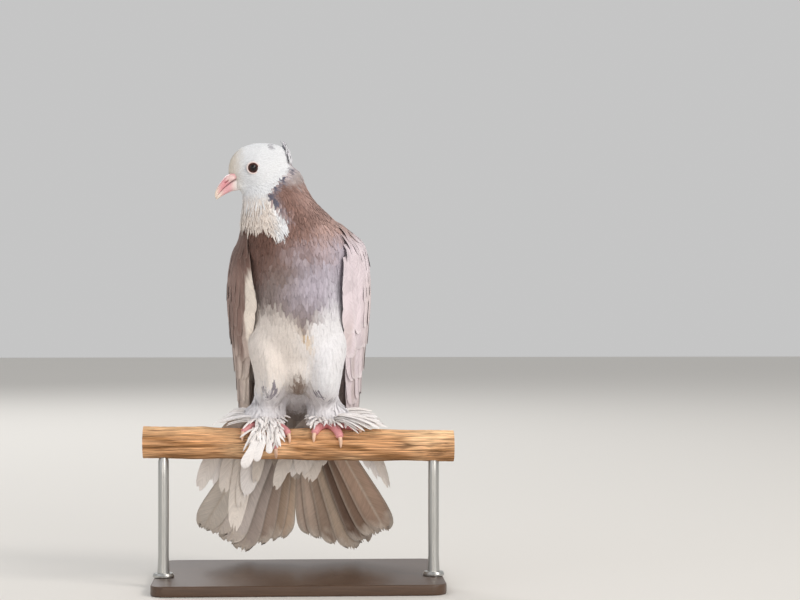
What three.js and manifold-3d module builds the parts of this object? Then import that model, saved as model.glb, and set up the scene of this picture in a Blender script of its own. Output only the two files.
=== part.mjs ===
// A fantail pigeon gripping a cut length of branch, as a life-size still model on a plain stand.
// Millimetres, +Z up. The bird faces -Y, so its left side is +X; its head looks towards -X.
import * as THREE from 'three';
import { mergeVertices } from 'three/addons/utils/BufferGeometryUtils.js';
import Module from 'manifold-3d';

const wasm = await Module();
wasm.setup();

// Driving dimensions
const gap = 0.3; // between touching pieces
const baseSize = { width: 216, depth: 150, thickness: 8, corner: 12, bevel: 1.2 };
const branch = { radius: 11.5, length: 232, slope: -0.015, sides: 14, steps: 8 };
const branchHeight = 107; // the branch's axis above the floor
const branchBack = -25; // the branch's axis in front of the base's centre
const rod = { radius: 4, collarRadius: 8, collarHeight: 3, fromCentre: 101 };
const skull = { x: -28.4, y: -5, z: 201.2, halfWidth: 15.4 };
const headTurn = THREE.MathUtils.degToRad(9); // the bill swings this far towards the front
const eyeball = { radius: 4.6, x: -36, z: 205.6, fromMiddle: 10.2, opening: 3.8, lid: 1 };
const billFrom = { x: -34.4, z: 206.2 }; // the bill's outline is measured from here
const neckCut = { z: 150, lean: 0.12 };
const vaneThickness = 0.6;
const layer = vaneThickness + 0.4; // from one overlapping vane to the next
const legs = {
  right: { side: -1, hubX: -25, ankleX: -25, thighX: -23 },
  left: { side: 1, hubX: 21, ankleX: 20, thighX: 20.5 },
};
const flanks = { left: 1, right: -1 }; // the side of the body that each name stands for
const cheeks = { left: -1, right: 1 }; // and of the turned head, along Y

// Small helpers
const vec = (x, y, z) => new THREE.Vector3(x, y, z);
const clamp01 = (t) => Math.min(1, Math.max(0, t));
const ease = (t) => clamp01(t) ** 2 * (3 - 2 * clamp01(t));
const mix = (a, b, t) => a + (b - a) * t;
const degrees = THREE.MathUtils.degToRad;

let seed = 41;
function random(low, high) {
  seed = (seed * 16807) % 2147483647;
  return mix(low, high, seed / 2147483647);
}

// A smooth function through a few [position, value] stops.
function through(stops) {
  const slope = stops.map((stop, i) => {
    const [t0, v0] = stops[Math.max(0, i - 1)];
    const [t1, v1] = stops[Math.min(stops.length - 1, i + 1)];
    return (v1 - v0) / (t1 - t0);
  });
  return (t) => {
    if (t <= stops[0][0]) return stops[0][1];
    if (t >= stops.at(-1)[0]) return stops.at(-1)[1];
    const i = stops.findIndex(([stop]) => stop > t) - 1;
    const [t0, v0] = stops[i];
    const [t1, v1] = stops[i + 1];
    const h = t1 - t0;
    const u = (t - t0) / h;
    const rise = v0 * (1 + 2 * u) * (1 - u) ** 2 + v1 * (3 - 2 * u) * u ** 2;
    return rise + h * u * (1 - u) * (slope[i] * (1 - u) - slope[i + 1] * u);
  };
}

// The same for places: a smooth path through points given at even steps.
function pathThrough(points) {
  const last = points.length - 1;
  const [x, y, z] = [0, 1, 2].map((axis) => through(points.map((p, i) => [i / last, p[axis]])));
  return (t) => vec(x(t), y(t), z(t));
}

function solidOf(geometry) {
  const bare = geometry.clone();
  bare.deleteAttribute('normal');
  bare.deleteAttribute('uv');
  const merged = mergeVertices(bare, 1e-4);
  return new wasm.Manifold(
    new wasm.Mesh({
      numProp: 3,
      vertProperties: merged.attributes.position.array,
      triVerts: new Uint32Array(merged.index.array),
    }),
  );
}

// A solid with its faces pointing out, also where a mapping mirrored them.
function outward(geometry) {
  const solid = solidOf(geometry);
  if (solid.volume() > 0) return solid;
  const index = geometry.index.array;
  for (let i = 0; i < index.length; i += 3) {
    [index[i + 1], index[i + 2]] = [index[i + 2], index[i + 1]];
  }
  return solidOf(geometry);
}

function geometryOf(solid) {
  const mesh = solid.getMesh();
  const places = new Float32Array(mesh.numVert * 3);
  for (let i = 0; i < mesh.numVert; i++) {
    const at = i * mesh.numProp;
    places.set(mesh.vertProperties.subarray(at, at + 3), i * 3);
  }
  const geometry = new THREE.BufferGeometry();
  geometry.setAttribute('position', new THREE.BufferAttribute(places, 3));
  geometry.setIndex(new THREE.BufferAttribute(mesh.triVerts, 1));
  geometry.computeVertexNormals();
  return geometry;
}

const fuse = (solids) => solids.reduce((whole, solid) => whole.add(solid));
const clearOf = (solid, others) => others.reduce((rest, other) => rest.subtract(other), solid);
const largest = (solid) =>
  solid.decompose().reduce((best, part) => (part.volume() > best.volume() ? part : best));

// A closed ball whose vertices go where place(t, angle, round) says: t runs from pole to pole
// and round is 0 at the poles and 1 half-way.
function lofted(around, along, place) {
  const ball = new THREE.SphereGeometry(1, around, along);
  const spots = ball.attributes.position;
  for (let i = 0; i < spots.count; i++) {
    const height = THREE.MathUtils.clamp(spots.getY(i), -1, 1);
    const pole = Math.abs(height) > 1 - 1e-9;
    const angle = pole ? 0 : Math.atan2(spots.getX(i), spots.getZ(i));
    const p = place((1 - height) / 2, angle, pole ? 0 : Math.sqrt(1 - height ** 2));
    spots.setXYZ(i, p.x, p.y, p.z);
  }
  return outward(ball);
}

// A ball of the given radii, turned about the X axis.
function egg(centre, radii, tilt = 0, around = 16, along = 10) {
  const ball = new THREE.SphereGeometry(1, around, along);
  return outward(
    ball
      .scale(...radii)
      .rotateX(tilt)
      .translate(...centre),
  );
}

// A round tube along a path, with a radius for each share of its length and closed ends.
function tube(path, radius, around = 8, along = 10) {
  return lofted(around, along, (t, angle, round) => {
    const ahead = path(Math.min(1, t + 0.01)).sub(path(Math.max(0, t - 0.01))).normalize();
    const across = vec(1, 0, 0).addScaledVector(ahead, -ahead.x).normalize();
    const over = ahead.clone().cross(across);
    const size = radius(t) * Math.min(1, round * 1.8);
    return path(t)
      .addScaledVector(across, size * Math.sin(angle))
      .addScaledVector(over, size * Math.cos(angle));
  });
}

// A thin feather vane. place(t, across, lift) says where a point of it goes, t from root to tip.
// Both faces are split into triangles alike, so a bent vane can't cross itself.
const bluntTip = through([
  [0, 0.35],
  [0.3, 0.85],
  [0.62, 1],
  [0.88, 0.9],
  [1, 0.5],
]);
const narrowTip = through([
  [0, 0.4],
  [0.3, 0.95],
  [0.6, 1],
  [0.85, 0.72],
  [1, 0.28],
]);
const vaneSteps = [0, 0.35, 0.75, 1];

function vane(place, { width, shape = bluntTip, columns = [-1, 1], steps = vaneSteps }) {
  const places = [];
  for (const t of steps) {
    const half = (width / 2) * shape(t);
    const thick = (vaneThickness / 2) * (1 - 0.3 * t);
    for (const lift of [thick, -thick]) {
      for (const column of columns) places.push(...place(t, column * half, lift).toArray());
    }
  }
  const wide = columns.length;
  const top = (i, j) => i * 2 * wide + j;
  const under = (i, j) => top(i, j) + wide;
  const faces = [];
  const quad = (a, b, c, d) => faces.push(a, b, c, a, c, d);
  const far = steps.length - 1;
  for (let i = 0; i < far; i++) {
    for (let j = 0; j < wide - 1; j++) {
      quad(top(i, j), top(i, j + 1), top(i + 1, j + 1), top(i + 1, j));
      faces.push(under(i, j), under(i + 1, j + 1), under(i, j + 1));
      faces.push(under(i, j), under(i + 1, j), under(i + 1, j + 1));
    }
    quad(top(i, 0), top(i + 1, 0), under(i + 1, 0), under(i, 0));
    quad(top(i, wide - 1), under(i, wide - 1), under(i + 1, wide - 1), top(i + 1, wide - 1));
  }
  for (let j = 0; j < wide - 1; j++) {
    quad(top(0, j), under(0, j), under(0, j + 1), top(0, j + 1));
    quad(top(far, j), top(far, j + 1), under(far, j + 1), under(far, j));
  }
  const geometry = new THREE.BufferGeometry();
  geometry.setAttribute('position', new THREE.Float32BufferAttribute(places, 3));
  geometry.setIndex(faces);
  return outward(geometry);
}

// A vane along a path, whose face looks along "facing".
function looseVane(path, facing, size) {
  const place = (t, across, lift) => {
    const ahead = path(Math.min(1, t + 0.02)).sub(path(Math.max(0, t - 0.02))).normalize();
    const side = ahead.clone().cross(facing).normalize();
    const up = side.clone().cross(ahead);
    return path(t).addScaledVector(side, across).addScaledVector(up, lift);
  };
  return vane(place, size);
}

// The trunk: level sections from the rump up to the nape
const trunkStations = [
  { z: 16, x: -1, y: 40, halfWidth: 9, halfDepth: 8 },
  { z: 27, x: -1, y: 34, halfWidth: 21, halfDepth: 18 },
  { z: 40, x: 0, y: 23, halfWidth: 29, halfDepth: 29 },
  { z: 55, x: 0, y: 13, halfWidth: 34, halfDepth: 38 },
  { z: 72, x: 0, y: 6.5, halfWidth: 36.5, halfDepth: 43 },
  { z: 90, x: 0, y: 2.5, halfWidth: 37, halfDepth: 45.5 },
  { z: 108, x: 0, y: 0, halfWidth: 37.5, halfDepth: 46 },
  { z: 125, x: 0, y: -2.5, halfWidth: 39.5, halfDepth: 43.5 },
  { z: 140, x: -0.5, y: -4, halfWidth: 42.5, halfDepth: 39.5 },
  { z: 154, x: -2.5, y: -5, halfWidth: 42, halfDepth: 34.5 },
  { z: 165, x: -6, y: -5.5, halfWidth: 38, halfDepth: 28.5 },
  { z: 176, x: -11, y: -6, halfWidth: 32, halfDepth: 22.5 },
  { z: 188, x: -16, y: -6, halfWidth: 27, halfDepth: 16.8 },
  { z: 197, x: -18.5, y: -6, halfWidth: 24, halfDepth: 13.2 },
  { z: 204, x: -17, y: -6, halfWidth: 19.5, halfDepth: 10.8 },
  { z: 210, x: -14.5, y: -6, halfWidth: 12, halfDepth: 7.5 },
];
const trunkEnds = { low: 12, high: 214 };

function trunk(extra) {
  const stop = (key) => through(trunkStations.map((s) => [s.z, s[key]]));
  const [x, y, halfWidth, halfDepth] = ['x', 'y', 'halfWidth', 'halfDepth'].map(stop);
  return lofted(26, 20, (t, angle, round) => {
    const z = mix(trunkEnds.low - extra, trunkEnds.high + extra, t);
    const end = Math.min(1, round * 2.4);
    const wide = (halfWidth(z) + extra) * end;
    const deep = (halfDepth(z) + extra) * end;
    return vec(x(z) + wide * Math.sin(angle), y(z) + deep * Math.cos(angle), z);
  });
}

// The head in side view: a radius for each direction round the skull's centre, in degrees
// from the nape (0) over the crown (90) to the face (180) and the throat (-90)
const headOutline = through([
  [-180, 25.3],
  [-165, 21.5],
  [-150, 19.5],
  [-135, 21],
  [-115, 25],
  [-90, 26],
  [-45, 25],
  [0, 25],
  [26, 25.8],
  [40, 27],
  [55, 27.3],
  [66, 26.2],
  [83, 24.9],
  [112, 25],
  [128, 26],
  [141, 26.3],
  [155, 26.3],
  [166, 25.8],
  [180, 25.3],
]);

const turnHead = (solid) =>
  solid
    .translate([-skull.x, -skull.y, 0])
    .rotate([0, 0, THREE.MathUtils.radToDeg(headTurn)])
    .translate([skull.x, skull.y, 0]);

const faceNarrowing = (x, z) => 1 - 0.42 * ease(-x / 26) - 0.12 * ease(z / 26);

function headBall(extra) {
  return lofted(26, 13, (t, angle, round) => {
    const radius = (headOutline(THREE.MathUtils.radToDeg(angle)) + extra) * round;
    const x = radius * Math.cos(angle);
    const z = radius * Math.sin(angle);
    const y = (skull.halfWidth + extra) * (1 - 2 * t) * faceNarrowing(x, z);
    return vec(skull.x + x, skull.y + y, skull.z + z);
  });
}

function eye(side, extra = 0) {
  const y = skull.y + side * eyeball.fromMiddle;
  return egg([eyeball.x, y, eyeball.z], Array(3).fill(eyeball.radius + extra), 0, 12, 8);
}

// Both lids of an eye together are one raised ring round its opening.
function lids(side) {
  const ring = new THREE.TorusGeometry(eyeball.opening + eyeball.lid, eyeball.lid, 5, 14);
  ring.rotateX(Math.PI / 2);
  ring.translate(eyeball.x, skull.y + side * (eyeball.fromMiddle + 2.4), eyeball.z);
  return outward(ring);
}

// The peak of short upturned feathers at the back of the crown
const crest = { count: 5, halfWidth: 7, length: 11, width: 4.6, lean: 84, rootAngle: 43, rootRadius: 23.5 };

function crestVanes() {
  return Array.from({ length: crest.count }, (unused, i) => {
    const across = mix(-1, 1, i / (crest.count - 1));
    const start = degrees(crest.rootAngle - 9 * across ** 2);
    const reach = crest.length * (1 - 0.25 * across ** 2) * random(0.92, 1.06);
    const out = degrees(crest.lean);
    const y = skull.y + across * crest.halfWidth;
    const { rootRadius } = crest;
    const root = [skull.x + rootRadius * Math.cos(start), y, skull.z + rootRadius * Math.sin(start)];
    const tip = [root[0] + reach * Math.cos(out), y + across * 1.5, root[2] + reach * Math.sin(out)];
    const bend = [mix(root[0], tip[0], 0.5) + 1.6, mix(y, tip[1], 0.5), mix(root[2], tip[2], 0.4)];
    const facing = vec(-1, 0.25 * across, 0.5);
    return looseVane(pathThrough([root, bend, tip]), facing, {
      width: crest.width,
      shape: narrowTip,
    });
  });
}

// The bill in side view: its ridge, the line of the mouth and its underside
const bill = {
  ridge: [
    [-9, -1],
    [-19.3, -5.6],
    [-23.4, -9.8],
    [-26.7, -14.6],
    [-28.5, -19.2],
    [-27.8, -23.8],
  ],
  mouth: [
    [-5, -7.5],
    [-12.4, -9.6],
    [-17.4, -13.6],
    [-21.6, -17.6],
    [-25.4, -21.2],
    [-27.6, -23.9],
  ],
  underside: [
    [-4, -13],
    [-11, -16.6],
    [-15.6, -17.4],
    [-20.4, -19.6],
    [-24.4, -22],
    [-27.2, -24],
  ],
  halfWidth: [5.4, 4.7, 3.7, 2.9, 1.9, 0.7],
};

const alongBill = (points, axis) => through(points.map((p, i) => [i / (points.length - 1), p[axis]]));

const fuller = (n) => Math.sign(n) * Math.abs(n) ** 0.8; // rounds a section out towards a box

function mandible(upperEdge, lowerEdge, extra, narrower = 1) {
  const [upperX, upperZ] = [0, 1].map((axis) => alongBill(upperEdge, axis));
  const [lowerX, lowerZ] = [0, 1].map((axis) => alongBill(lowerEdge, axis));
  const halfWidth = alongBill(bill.halfWidth.map((w) => [w]), 0);
  return lofted(10, 8, (t, angle, round) => {
    const top = vec(upperX(t), 0, upperZ(t));
    const low = vec(lowerX(t), 0, lowerZ(t));
    const middle = top.clone().lerp(low, 0.5);
    const up = top.clone().sub(low);
    const size = Math.min(1, round * 2);
    const tall = (up.length() / 2 + extra) * size;
    middle.addScaledVector(up.normalize(), tall * fuller(Math.cos(angle)));
    middle.y = (halfWidth(t) * narrower + extra) * size * fuller(Math.sin(angle));
    return middle.add(vec(billFrom.x, skull.y, billFrom.z));
  });
}

const upperBill = (extra = 0) => mandible(bill.ridge, bill.mouth, extra);
// The lower bill reaches up into the upper one, which is then cut out of it.
const jawTop = bill.mouth.map((point, i) => point.map((n, axis) => mix(n, bill.ridge[i][axis], 0.35)));
const lowerBill = () => mandible(jawTop, bill.underside, 0, 0.92);

// The cere's two soft swellings, and the nostril slit below each
const cere = (side) =>
  egg([billFrom.x - 17.4, skull.y + side * 2.4, billFrom.z - 8.8], [4.6, 2.5, 2.4], 0, 8, 6);
const nostril = (side) =>
  egg([billFrom.x - 19.8, skull.y + side * 4.6, billFrom.z - 12.4], [2.3, 1.5, 0.55], 0, 6, 4);

// The branch's axis falls a little towards +X, and its girth swells and narrows.
const branchZ = (x) => branch.slope * x;

function branchRod(extra = 0) {
  const bar = new THREE.CylinderGeometry(1, 1, branch.length, branch.sides, branch.steps);
  bar.rotateZ(Math.PI / 2);
  const spots = bar.attributes.position;
  for (let i = 0; i < spots.count; i++) {
    const x = spots.getX(i);
    const swell = 1 + 0.02 * Math.sin(x / 19) + 0.015 * Math.sin(x / 7.3);
    const radius = branch.radius * swell + extra;
    spots.setXYZ(i, x, spots.getY(i) * radius, spots.getZ(i) * radius + branchZ(x));
  }
  return outward(bar);
}

// A wing is drawn on a sheet that wraps the body: s runs down the wing, turn goes from the side
// (0 degrees) to the back (90 degrees), and lift is the height over the sheet.
const wingSheet = {
  middle: pathThrough([
    [0, -11, 165],
    [0, 0.5, 134],
    [0, 12, 103.5],
    [0, 25, 73],
    [0, 39, 43],
    [0, 54, 13],
    [0, 71, -16],
    [0, 89, -45],
  ]),
  from: -14,
  to: 214,
  back: vec(0, 0.937, 0.349),
  sideRadius: through([
    [-14, 32],
    [0, 45],
    [20, 51.5],
    [45, 53],
    [70, 52],
    [100, 50],
    [138, 49],
    [170, 46],
    [214, 36],
  ]),
  backRadius: through([
    [-14, 32],
    [20, 42],
    [60, 41],
    [100, 36],
    [140, 30],
    [214, 24],
  ]),
};

const leftShoulderRise = 4; // the left wing is held this much higher at the shoulder

function onWing(side, s, turn, lift) {
  const { middle, from, to, back, sideRadius, backRadius } = wingSheet;
  const a = degrees(turn);
  const p = middle((s - from) / (to - from));
  p.x += side * (sideRadius(s) + lift) * Math.cos(a);
  p.z += side > 0 ? leftShoulderRise * (1 - ease(s / 120)) : 0;
  return p.addScaledVector(back, (backRadius(s) + lift) * Math.sin(a));
}

// How far round the sheet one millimetre across it goes, in degrees.
function turnPerMillimetre(s, turn) {
  const a = degrees(turn);
  const { sideRadius, backRadius } = wingSheet;
  const reach = Math.hypot(sideRadius(s) * Math.sin(a), backRadius(s) * Math.cos(a));
  return THREE.MathUtils.radToDeg(1 / reach);
}

// A closed cushion on the sheet between two values of s, with edges and faces that vary along it.
function cushion(side, { from, to, front, rear, outer, inner }, around, along) {
  return lofted(around, along, (t, angle, round) => {
    const s = mix(from, to, t);
    const open = Math.min(1, round * 1.5);
    const across = 0.5 + 0.5 * fuller(Math.sin(angle)) * open;
    const turn = mix(front(s), rear(s), across);
    const middle = (outer(s) + inner(s)) / 2;
    const half = (outer(s) - inner(s)) / 2;
    return onWing(side, s, turn, middle + half * fuller(Math.cos(angle)) * open);
  });
}

const wingArm = {
  from: -10,
  to: 122,
  front: through([
    [-10, -20],
    [20, -44],
    [60, -44],
    [100, -33],
    [122, -22],
  ]),
  rear: through([
    [-10, 62],
    [20, 82],
    [60, 82],
    [122, 67],
  ]),
  outer: through([
    [-10, 0],
    [34, 0.2],
    [42, -0.5],
    [58, -0.9],
    [68, -3],
    [88, -3.2],
    [98, -6],
    [122, -6.2],
  ]),
  inner: through([
    [-10, -9],
    [105, -9],
    [110, -7.6],
    [122, -7.2],
  ]),
};

const primaryRoot = {
  from: 96,
  to: 138,
  front: through([
    [96, -22],
    [138, -12],
  ]),
  rear: through([
    [96, 22],
    [138, 20],
  ]),
  outer: () => -8.7,
  inner: through([
    [96, -14],
    [138, -13.2],
  ]),
};

// The same cushion, larger by the gap all round.
function widened(shape) {
  const apart = 1.5; // degrees, about the gap or more anywhere on the sheet
  return {
    from: shape.from - 2,
    to: shape.to + 2,
    front: (s) => shape.front(s) - apart,
    rear: (s) => shape.rear(s) + apart,
    outer: (s) => shape.outer(s) + gap,
    inner: (s) => shape.inner(s) - gap,
  };
}

// The rows of a folded wing, from the shoulder down: median coverts, greater coverts and
// secondaries. Each row's free part lies at its own lift, and each feather in it tilts so that
// its rear edge passes over its neighbour's front edge.
const wingRows = [
  { count: 7, root: 34, tips: [60, 68], spread: [-37, 76], tipSpread: [-40, 78], width: 17, lift: 1.1 },
  { count: 7, root: 60, tips: [96, 102], spread: [-35, 74], tipSpread: [-36, 77], width: 17, lift: -1.4 },
  { count: 8, root: 90, tips: [152, 136], spread: [-24, 68], tipSpread: [-15, 72], width: 15.5, lift: -4 },
];
const sunk = 1.6; // how far a root starts below the surface it grows from

function wingVanes(side, row) {
  const last = row.count - 1;
  return Array.from({ length: row.count }, (unused, i) => {
    const share = i / last;
    const rootTurn = mix(...row.spread, share);
    const tipTurn = mix(...row.tipSpread, share) + random(-0.6, 0.6);
    const tip = mix(...row.tips, share) + random(-1.5, 1.5);
    const spacing = Math.abs(row.tipSpread[1] - row.tipSpread[0]) / last;
    const tilt = (layer * turnPerMillimetre(tip, tipTurn)) / spacing;
    const rootLift = wingArm.outer(row.root) - sunk;
    const place = (t, across, lift) => {
      const s = mix(row.root, tip, t);
      const turn = mix(rootTurn, tipTurn, t);
      const height = mix(rootLift, row.lift, ease(t / 0.3)) - tilt * across + lift;
      return onWing(side, s, turn + across * turnPerMillimetre(s, turn), height);
    };
    return vane(place, { width: row.width });
  });
}

// The primaries: the frontmost is the longest and lies closest to the body.
const primaries = { count: 6, root: 112, tips: [206, 158], spread: [-17, 16], tipSpread: [0, 24], width: 13 };

function primaryVanes(side) {
  const { count, root, tips, spread, tipSpread, width } = primaries;
  return Array.from({ length: count }, (unused, i) => {
    const share = i / (count - 1);
    const tip = mix(...tips, share ** 0.85);
    const height = primaryRoot.inner(root) + 0.6 + 0.87 * layer * i;
    const place = (t, across, lift) => {
      const s = mix(root, tip, t);
      const turn = mix(mix(...spread, share), mix(...tipSpread, share), t);
      return onWing(side, s, turn + across * turnPerMillimetre(s, turn), height + lift);
    };
    return vane(place, { width, shape: narrowTip });
  });
}

// The tail hangs from its root; along runs down it, and lift goes towards the bird's back.
const tailSheet = {
  root: vec(-2, 41, 31),
  down: vec(0, 0.42, -0.907).normalize(),
  over: vec(0, 0.907, 0.42).normalize(),
  dish: 0.0013,
};
const tailTilt = Math.atan2(tailSheet.down.y, -tailSheet.down.z);

function onTail(along, across, lift) {
  const { root, down, over, dish } = tailSheet;
  const p = root.clone().addScaledVector(down, along);
  p.x += across;
  return p.addScaledVector(over, lift - dish * across ** 2);
}

// A vane on the tail sheet that leaves the root at an angle.
function tailVane({ offset, angle, length, height, width, camber = 0 }) {
  const a = degrees(angle);
  const place = (t, across, lift) => {
    const reach = length * t;
    const arch = -camber * (across / (width / 2)) ** 2;
    const side = offset + reach * Math.sin(a) + across * Math.cos(a);
    const along = reach * Math.cos(a) - across * Math.sin(a);
    return onTail(along, side, height + lift + arch);
  };
  const columns = camber ? [-1, 0, 1] : [-1, 1];
  return vane(place, { width, columns, steps: [0, 0.4, 0.9, 1] });
}

// Angles and lengths of the tail feathers on either side of the parting, from the outermost in
const tailParting = -7.5;
const tailFan = {
  left: {
    angles: [27.5, 23.8, 20, 16.2, 11.6, 7.4, 4],
    lengths: [128, 131, 136, 141, 134, 128, 128],
  },
  right: {
    angles: [-29.5, -24.8, -20.2, -15.8, -11.6, -8, -5],
    lengths: [127, 130, 135, 141, 133, 129, 128],
  },
};
const tailWidth = 22;

function tailFeathers(name, side) {
  const { angles, lengths } = tailFan[name];
  return angles.map((angle, i) =>
    tailVane({
      offset: side * (12 - 1.6 * i),
      angle,
      length: lengths[i],
      height: layer * (i - 3),
      width: tailWidth,
      camber: 0.5,
    }),
  );
}

function tailRootBlock(side) {
  const centre = onTail(12, side > 0 ? 6.5 : -10, 0);
  const radii = [13, 5.2, 15];
  return egg(centre.toArray(), radii, tailTilt, 10, 6);
}

// The coverts that hide the tail feathers' roots, above and below
const coverts = {
  undertail: { face: -1, count: 5, fan: 22, lengths: [42, 52], width: 15 },
  uppertail: { face: 1, count: 5, fan: 26, lengths: [36, 44], width: 15 },
};

function tailCoverts({ face, count, fan, lengths, width }) {
  return Array.from({ length: count }, (unused, i) => {
    const across = mix(-1, 1, i / (count - 1));
    const middle = 1 - Math.abs(across);
    return tailVane({
      offset: across * 11,
      angle: across * fan,
      length: mix(...lengths, middle) * random(0.95, 1.05),
      height: face * (tailHalfHeight + 0.9 + 1.25 * layer * middle * (count - 1) * 0.5),
      width,
    });
  });
}

// The coverts grow from a low mound on either face, and the tail feathers lie between the two.
const tailHalfHeight = 5.7;

function covertMound(face) {
  const { root, over } = tailSheet;
  const up = over.clone().multiplyScalar(face);
  const body = egg(onTail(4, 0, 0).toArray(), [22, 11, 19], tailTilt, 14, 8);
  return body.trimByPlane(up.toArray(), up.dot(root) + tailHalfHeight);
}

// Legs
const thigh = (leg, extra = 0) =>
  egg([leg.thighX, -9, 66], [17.5 + extra, 26 + extra, 36 + extra], degrees(-18), 16, 10);

function shank(leg) {
  const middle = pathThrough([
    [leg.ankleX, 4, 50],
    [leg.ankleX, 9, 33],
    [leg.hubX, 2, 16],
  ]);
  const radius = through([
    [0, 15],
    [0.5, 14.5],
    [1, 12.5],
  ]);
  return tube(middle, radius, 12, 6);
}

const footCuff = (leg) => egg([leg.hubX + leg.side, 4, 20], [15.5, 12, 8], 0, 14, 7);

// The feathers on each foot, in groups: a fan from the first root and tip to the last, in
// millimetres outwards from the foot's hub, forwards of the branch's axis and up from it
const footFeathers = {
  right: [
    {
      roots: [[8, 1, 17], [8, -6, 20]],
      tips: [[41, 4, 14.5], [25, -12, 23]],
      count: 4,
      rise: 3,
      width: 9,
    },
    {
      roots: [[12, -5, 18], [-8, -6, 18]],
      tips: [[52, -21, -40], [9, -25, -46]],
      count: 4,
      belly: 22,
      rise: 6,
      width: 14,
    },
  ],
  left: [
    {
      roots: [[8, 2, 17], [8, -6, 20]],
      tips: [[46, 5, 14], [34, -14, 22]],
      count: 4,
      rise: 3.5,
      width: 12,
    },
    {
      roots: [[-7, 3, 18], [-7, -4, 19]],
      tips: [[-16, 7, 15.5], [-17, -3, 18]],
      count: 2,
      rise: 2,
      width: 7,
    },
    {
      roots: [[0, -6, 18], [-9, -5, 18]],
      tips: [[-16, -22, -34], [-42, -25, -42]],
      count: 2,
      rise: 6,
      width: 13,
    },
    {
      roots: [[10, -5, 18], [7, -6, 19]],
      tips: [[46, -22, -42], [36, -24, -30]],
      count: 2,
      rise: 6,
      width: 9,
    },
  ],
};

// The plume down the middle toe: each feather's root and tip as millimetres outwards, degrees
// round the branch from its top towards the front, and distance from its axis
const toePlume = {
  right: { roots: [[4, 6, 19.6], [-4, 8, 19.6]], tips: [[17, 124, 29], [-3, 92, 23]], count: 4, width: 7 },
  left: { roots: [[-2, 6, 19.6], [4, 8, 19.6]], tips: [[-5, 50, 22], [9, 52, 22]], count: 2, width: 6 },
};

function footVanes(name) {
  const leg = legs[name];
  const toWorld = ([out, forward, up]) => vec(leg.hubX + leg.side * out, -forward, up);
  return footFeathers[name].flatMap(({ count, roots, tips, belly = 0, rise, width }) =>
    Array.from({ length: count }, (unused, i) => {
      const share = i / (count - 1);
      const root = toWorld(roots[0]).lerp(toWorld(roots[1]), share);
      const tip = toWorld(tips[0]).lerp(toWorld(tips[1]), share);
      tip.z -= belly * 4 * share * (1 - share);
      const drop = Math.max(0, root.z - tip.z);
      const hangs = drop > 12;
      const middle = root.clone().lerp(tip, 0.42);
      middle.z += rise + 0.2 * drop;
      middle.y += (hangs ? 0.12 : 0) * drop;
      const facing = hangs ? vec(0.15 * leg.side, 1, 0.5) : vec(0, -0.25, 1);
      const apart = facing.clone().setLength(layer * i);
      const points = [root, middle, tip].map((p) => p.add(apart).toArray());
      const size = { width: width * random(0.92, 1.08), shape: narrowTip };
      return looseVane(pathThrough(points), facing, size);
    }),
  );
}

function plumeVanes(name) {
  const leg = legs[name];
  const { roots, tips, count, width } = toePlume[name];
  return Array.from({ length: count }, (unused, i) => {
    const share = i / (count - 1);
    const place = (t, across, lift) => {
      const [x, turn, out] = roots[0].map((start, axis) =>
        mix(mix(start, roots[1][axis], share), mix(tips[0][axis], tips[1][axis], share), t),
      );
      const a = degrees(turn);
      const reach = out + lift + layer * i;
      return vec(leg.hubX + leg.side * x + across, -reach * Math.sin(a), reach * Math.cos(a));
    };
    return vane(place, { width, shape: narrowTip });
  });
}

// Toes by digit: how far round the branch each reaches (degrees from the top towards the front)
// and how far along it its tip lies, outwards from the hub
const toes = {
  right: [
    { name: 'inner', reach: 58, aside: -18, radius: 2.9 },
    { name: 'middle', reach: 120, aside: -8, radius: 3.1 },
    { name: 'outer', reach: 52, aside: 17, radius: 2.8 },
    { name: 'hind', reach: -62, aside: -5, radius: 2.6 },
  ],
  left: [
    { name: 'inner', reach: 54, aside: -10, radius: 2.9 },
    { name: 'middle', reach: 72, aside: 10, radius: 3.1 },
    { name: 'outer', reach: 46, aside: 24, radius: 2.8 },
    { name: 'hind', reach: -62, aside: -4, radius: 2.6 },
  ],
};
const clawReach = 26; // degrees past the toe's end
const hubTurn = -8; // the hub sits a little behind the branch's top
const toeShare = 0.7; // of the toe and its claw together

function toePath(leg, toe) {
  return (t) => {
    const turn = degrees(mix(hubTurn, toe.reach + Math.sign(toe.reach) * clawReach, t));
    const x = leg.hubX + leg.side * toe.aside * Math.sin((Math.PI / 2) * Math.min(1, t * 1.15));
    const out = branch.radius + gap + toe.radius * 0.92 - 2 * ease((t - toeShare) / 0.3);
    return vec(x, -out * Math.sin(turn), branchZ(x) + out * Math.cos(turn));
  };
}

const hub = (leg, extra = 0) =>
  egg([leg.hubX, 1.5, 16], [5.5 + extra, 6 + extra, 4.5 + extra], 0, 8, 6);

function wholeToe(leg, toe, extra = 0) {
  const size = through([
    [0, toe.radius * 1.15],
    [0.4, toe.radius],
    [0.66, toe.radius * 0.85],
    [0.72, 1.6],
    [0.86, 1.2],
    [1, 0.4],
  ]);
  return tube(toePath(leg, toe), (t) => size(t) + extra, 6, 9);
}

function toeAndClaw(leg, toe) {
  const path = toePath(leg, toe);
  const whole = wholeToe(leg, toe);
  const ahead = path(toeShare + 0.02).sub(path(toeShare - 0.02)).normalize();
  const where = path(toeShare).dot(ahead);
  const back = ahead.clone().negate();
  return {
    toe: whole.trimByPlane(back.toArray(), -(where - gap / 2)),
    claw: whole.trimByPlane(ahead.toArray(), where + gap / 2),
  };
}

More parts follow.
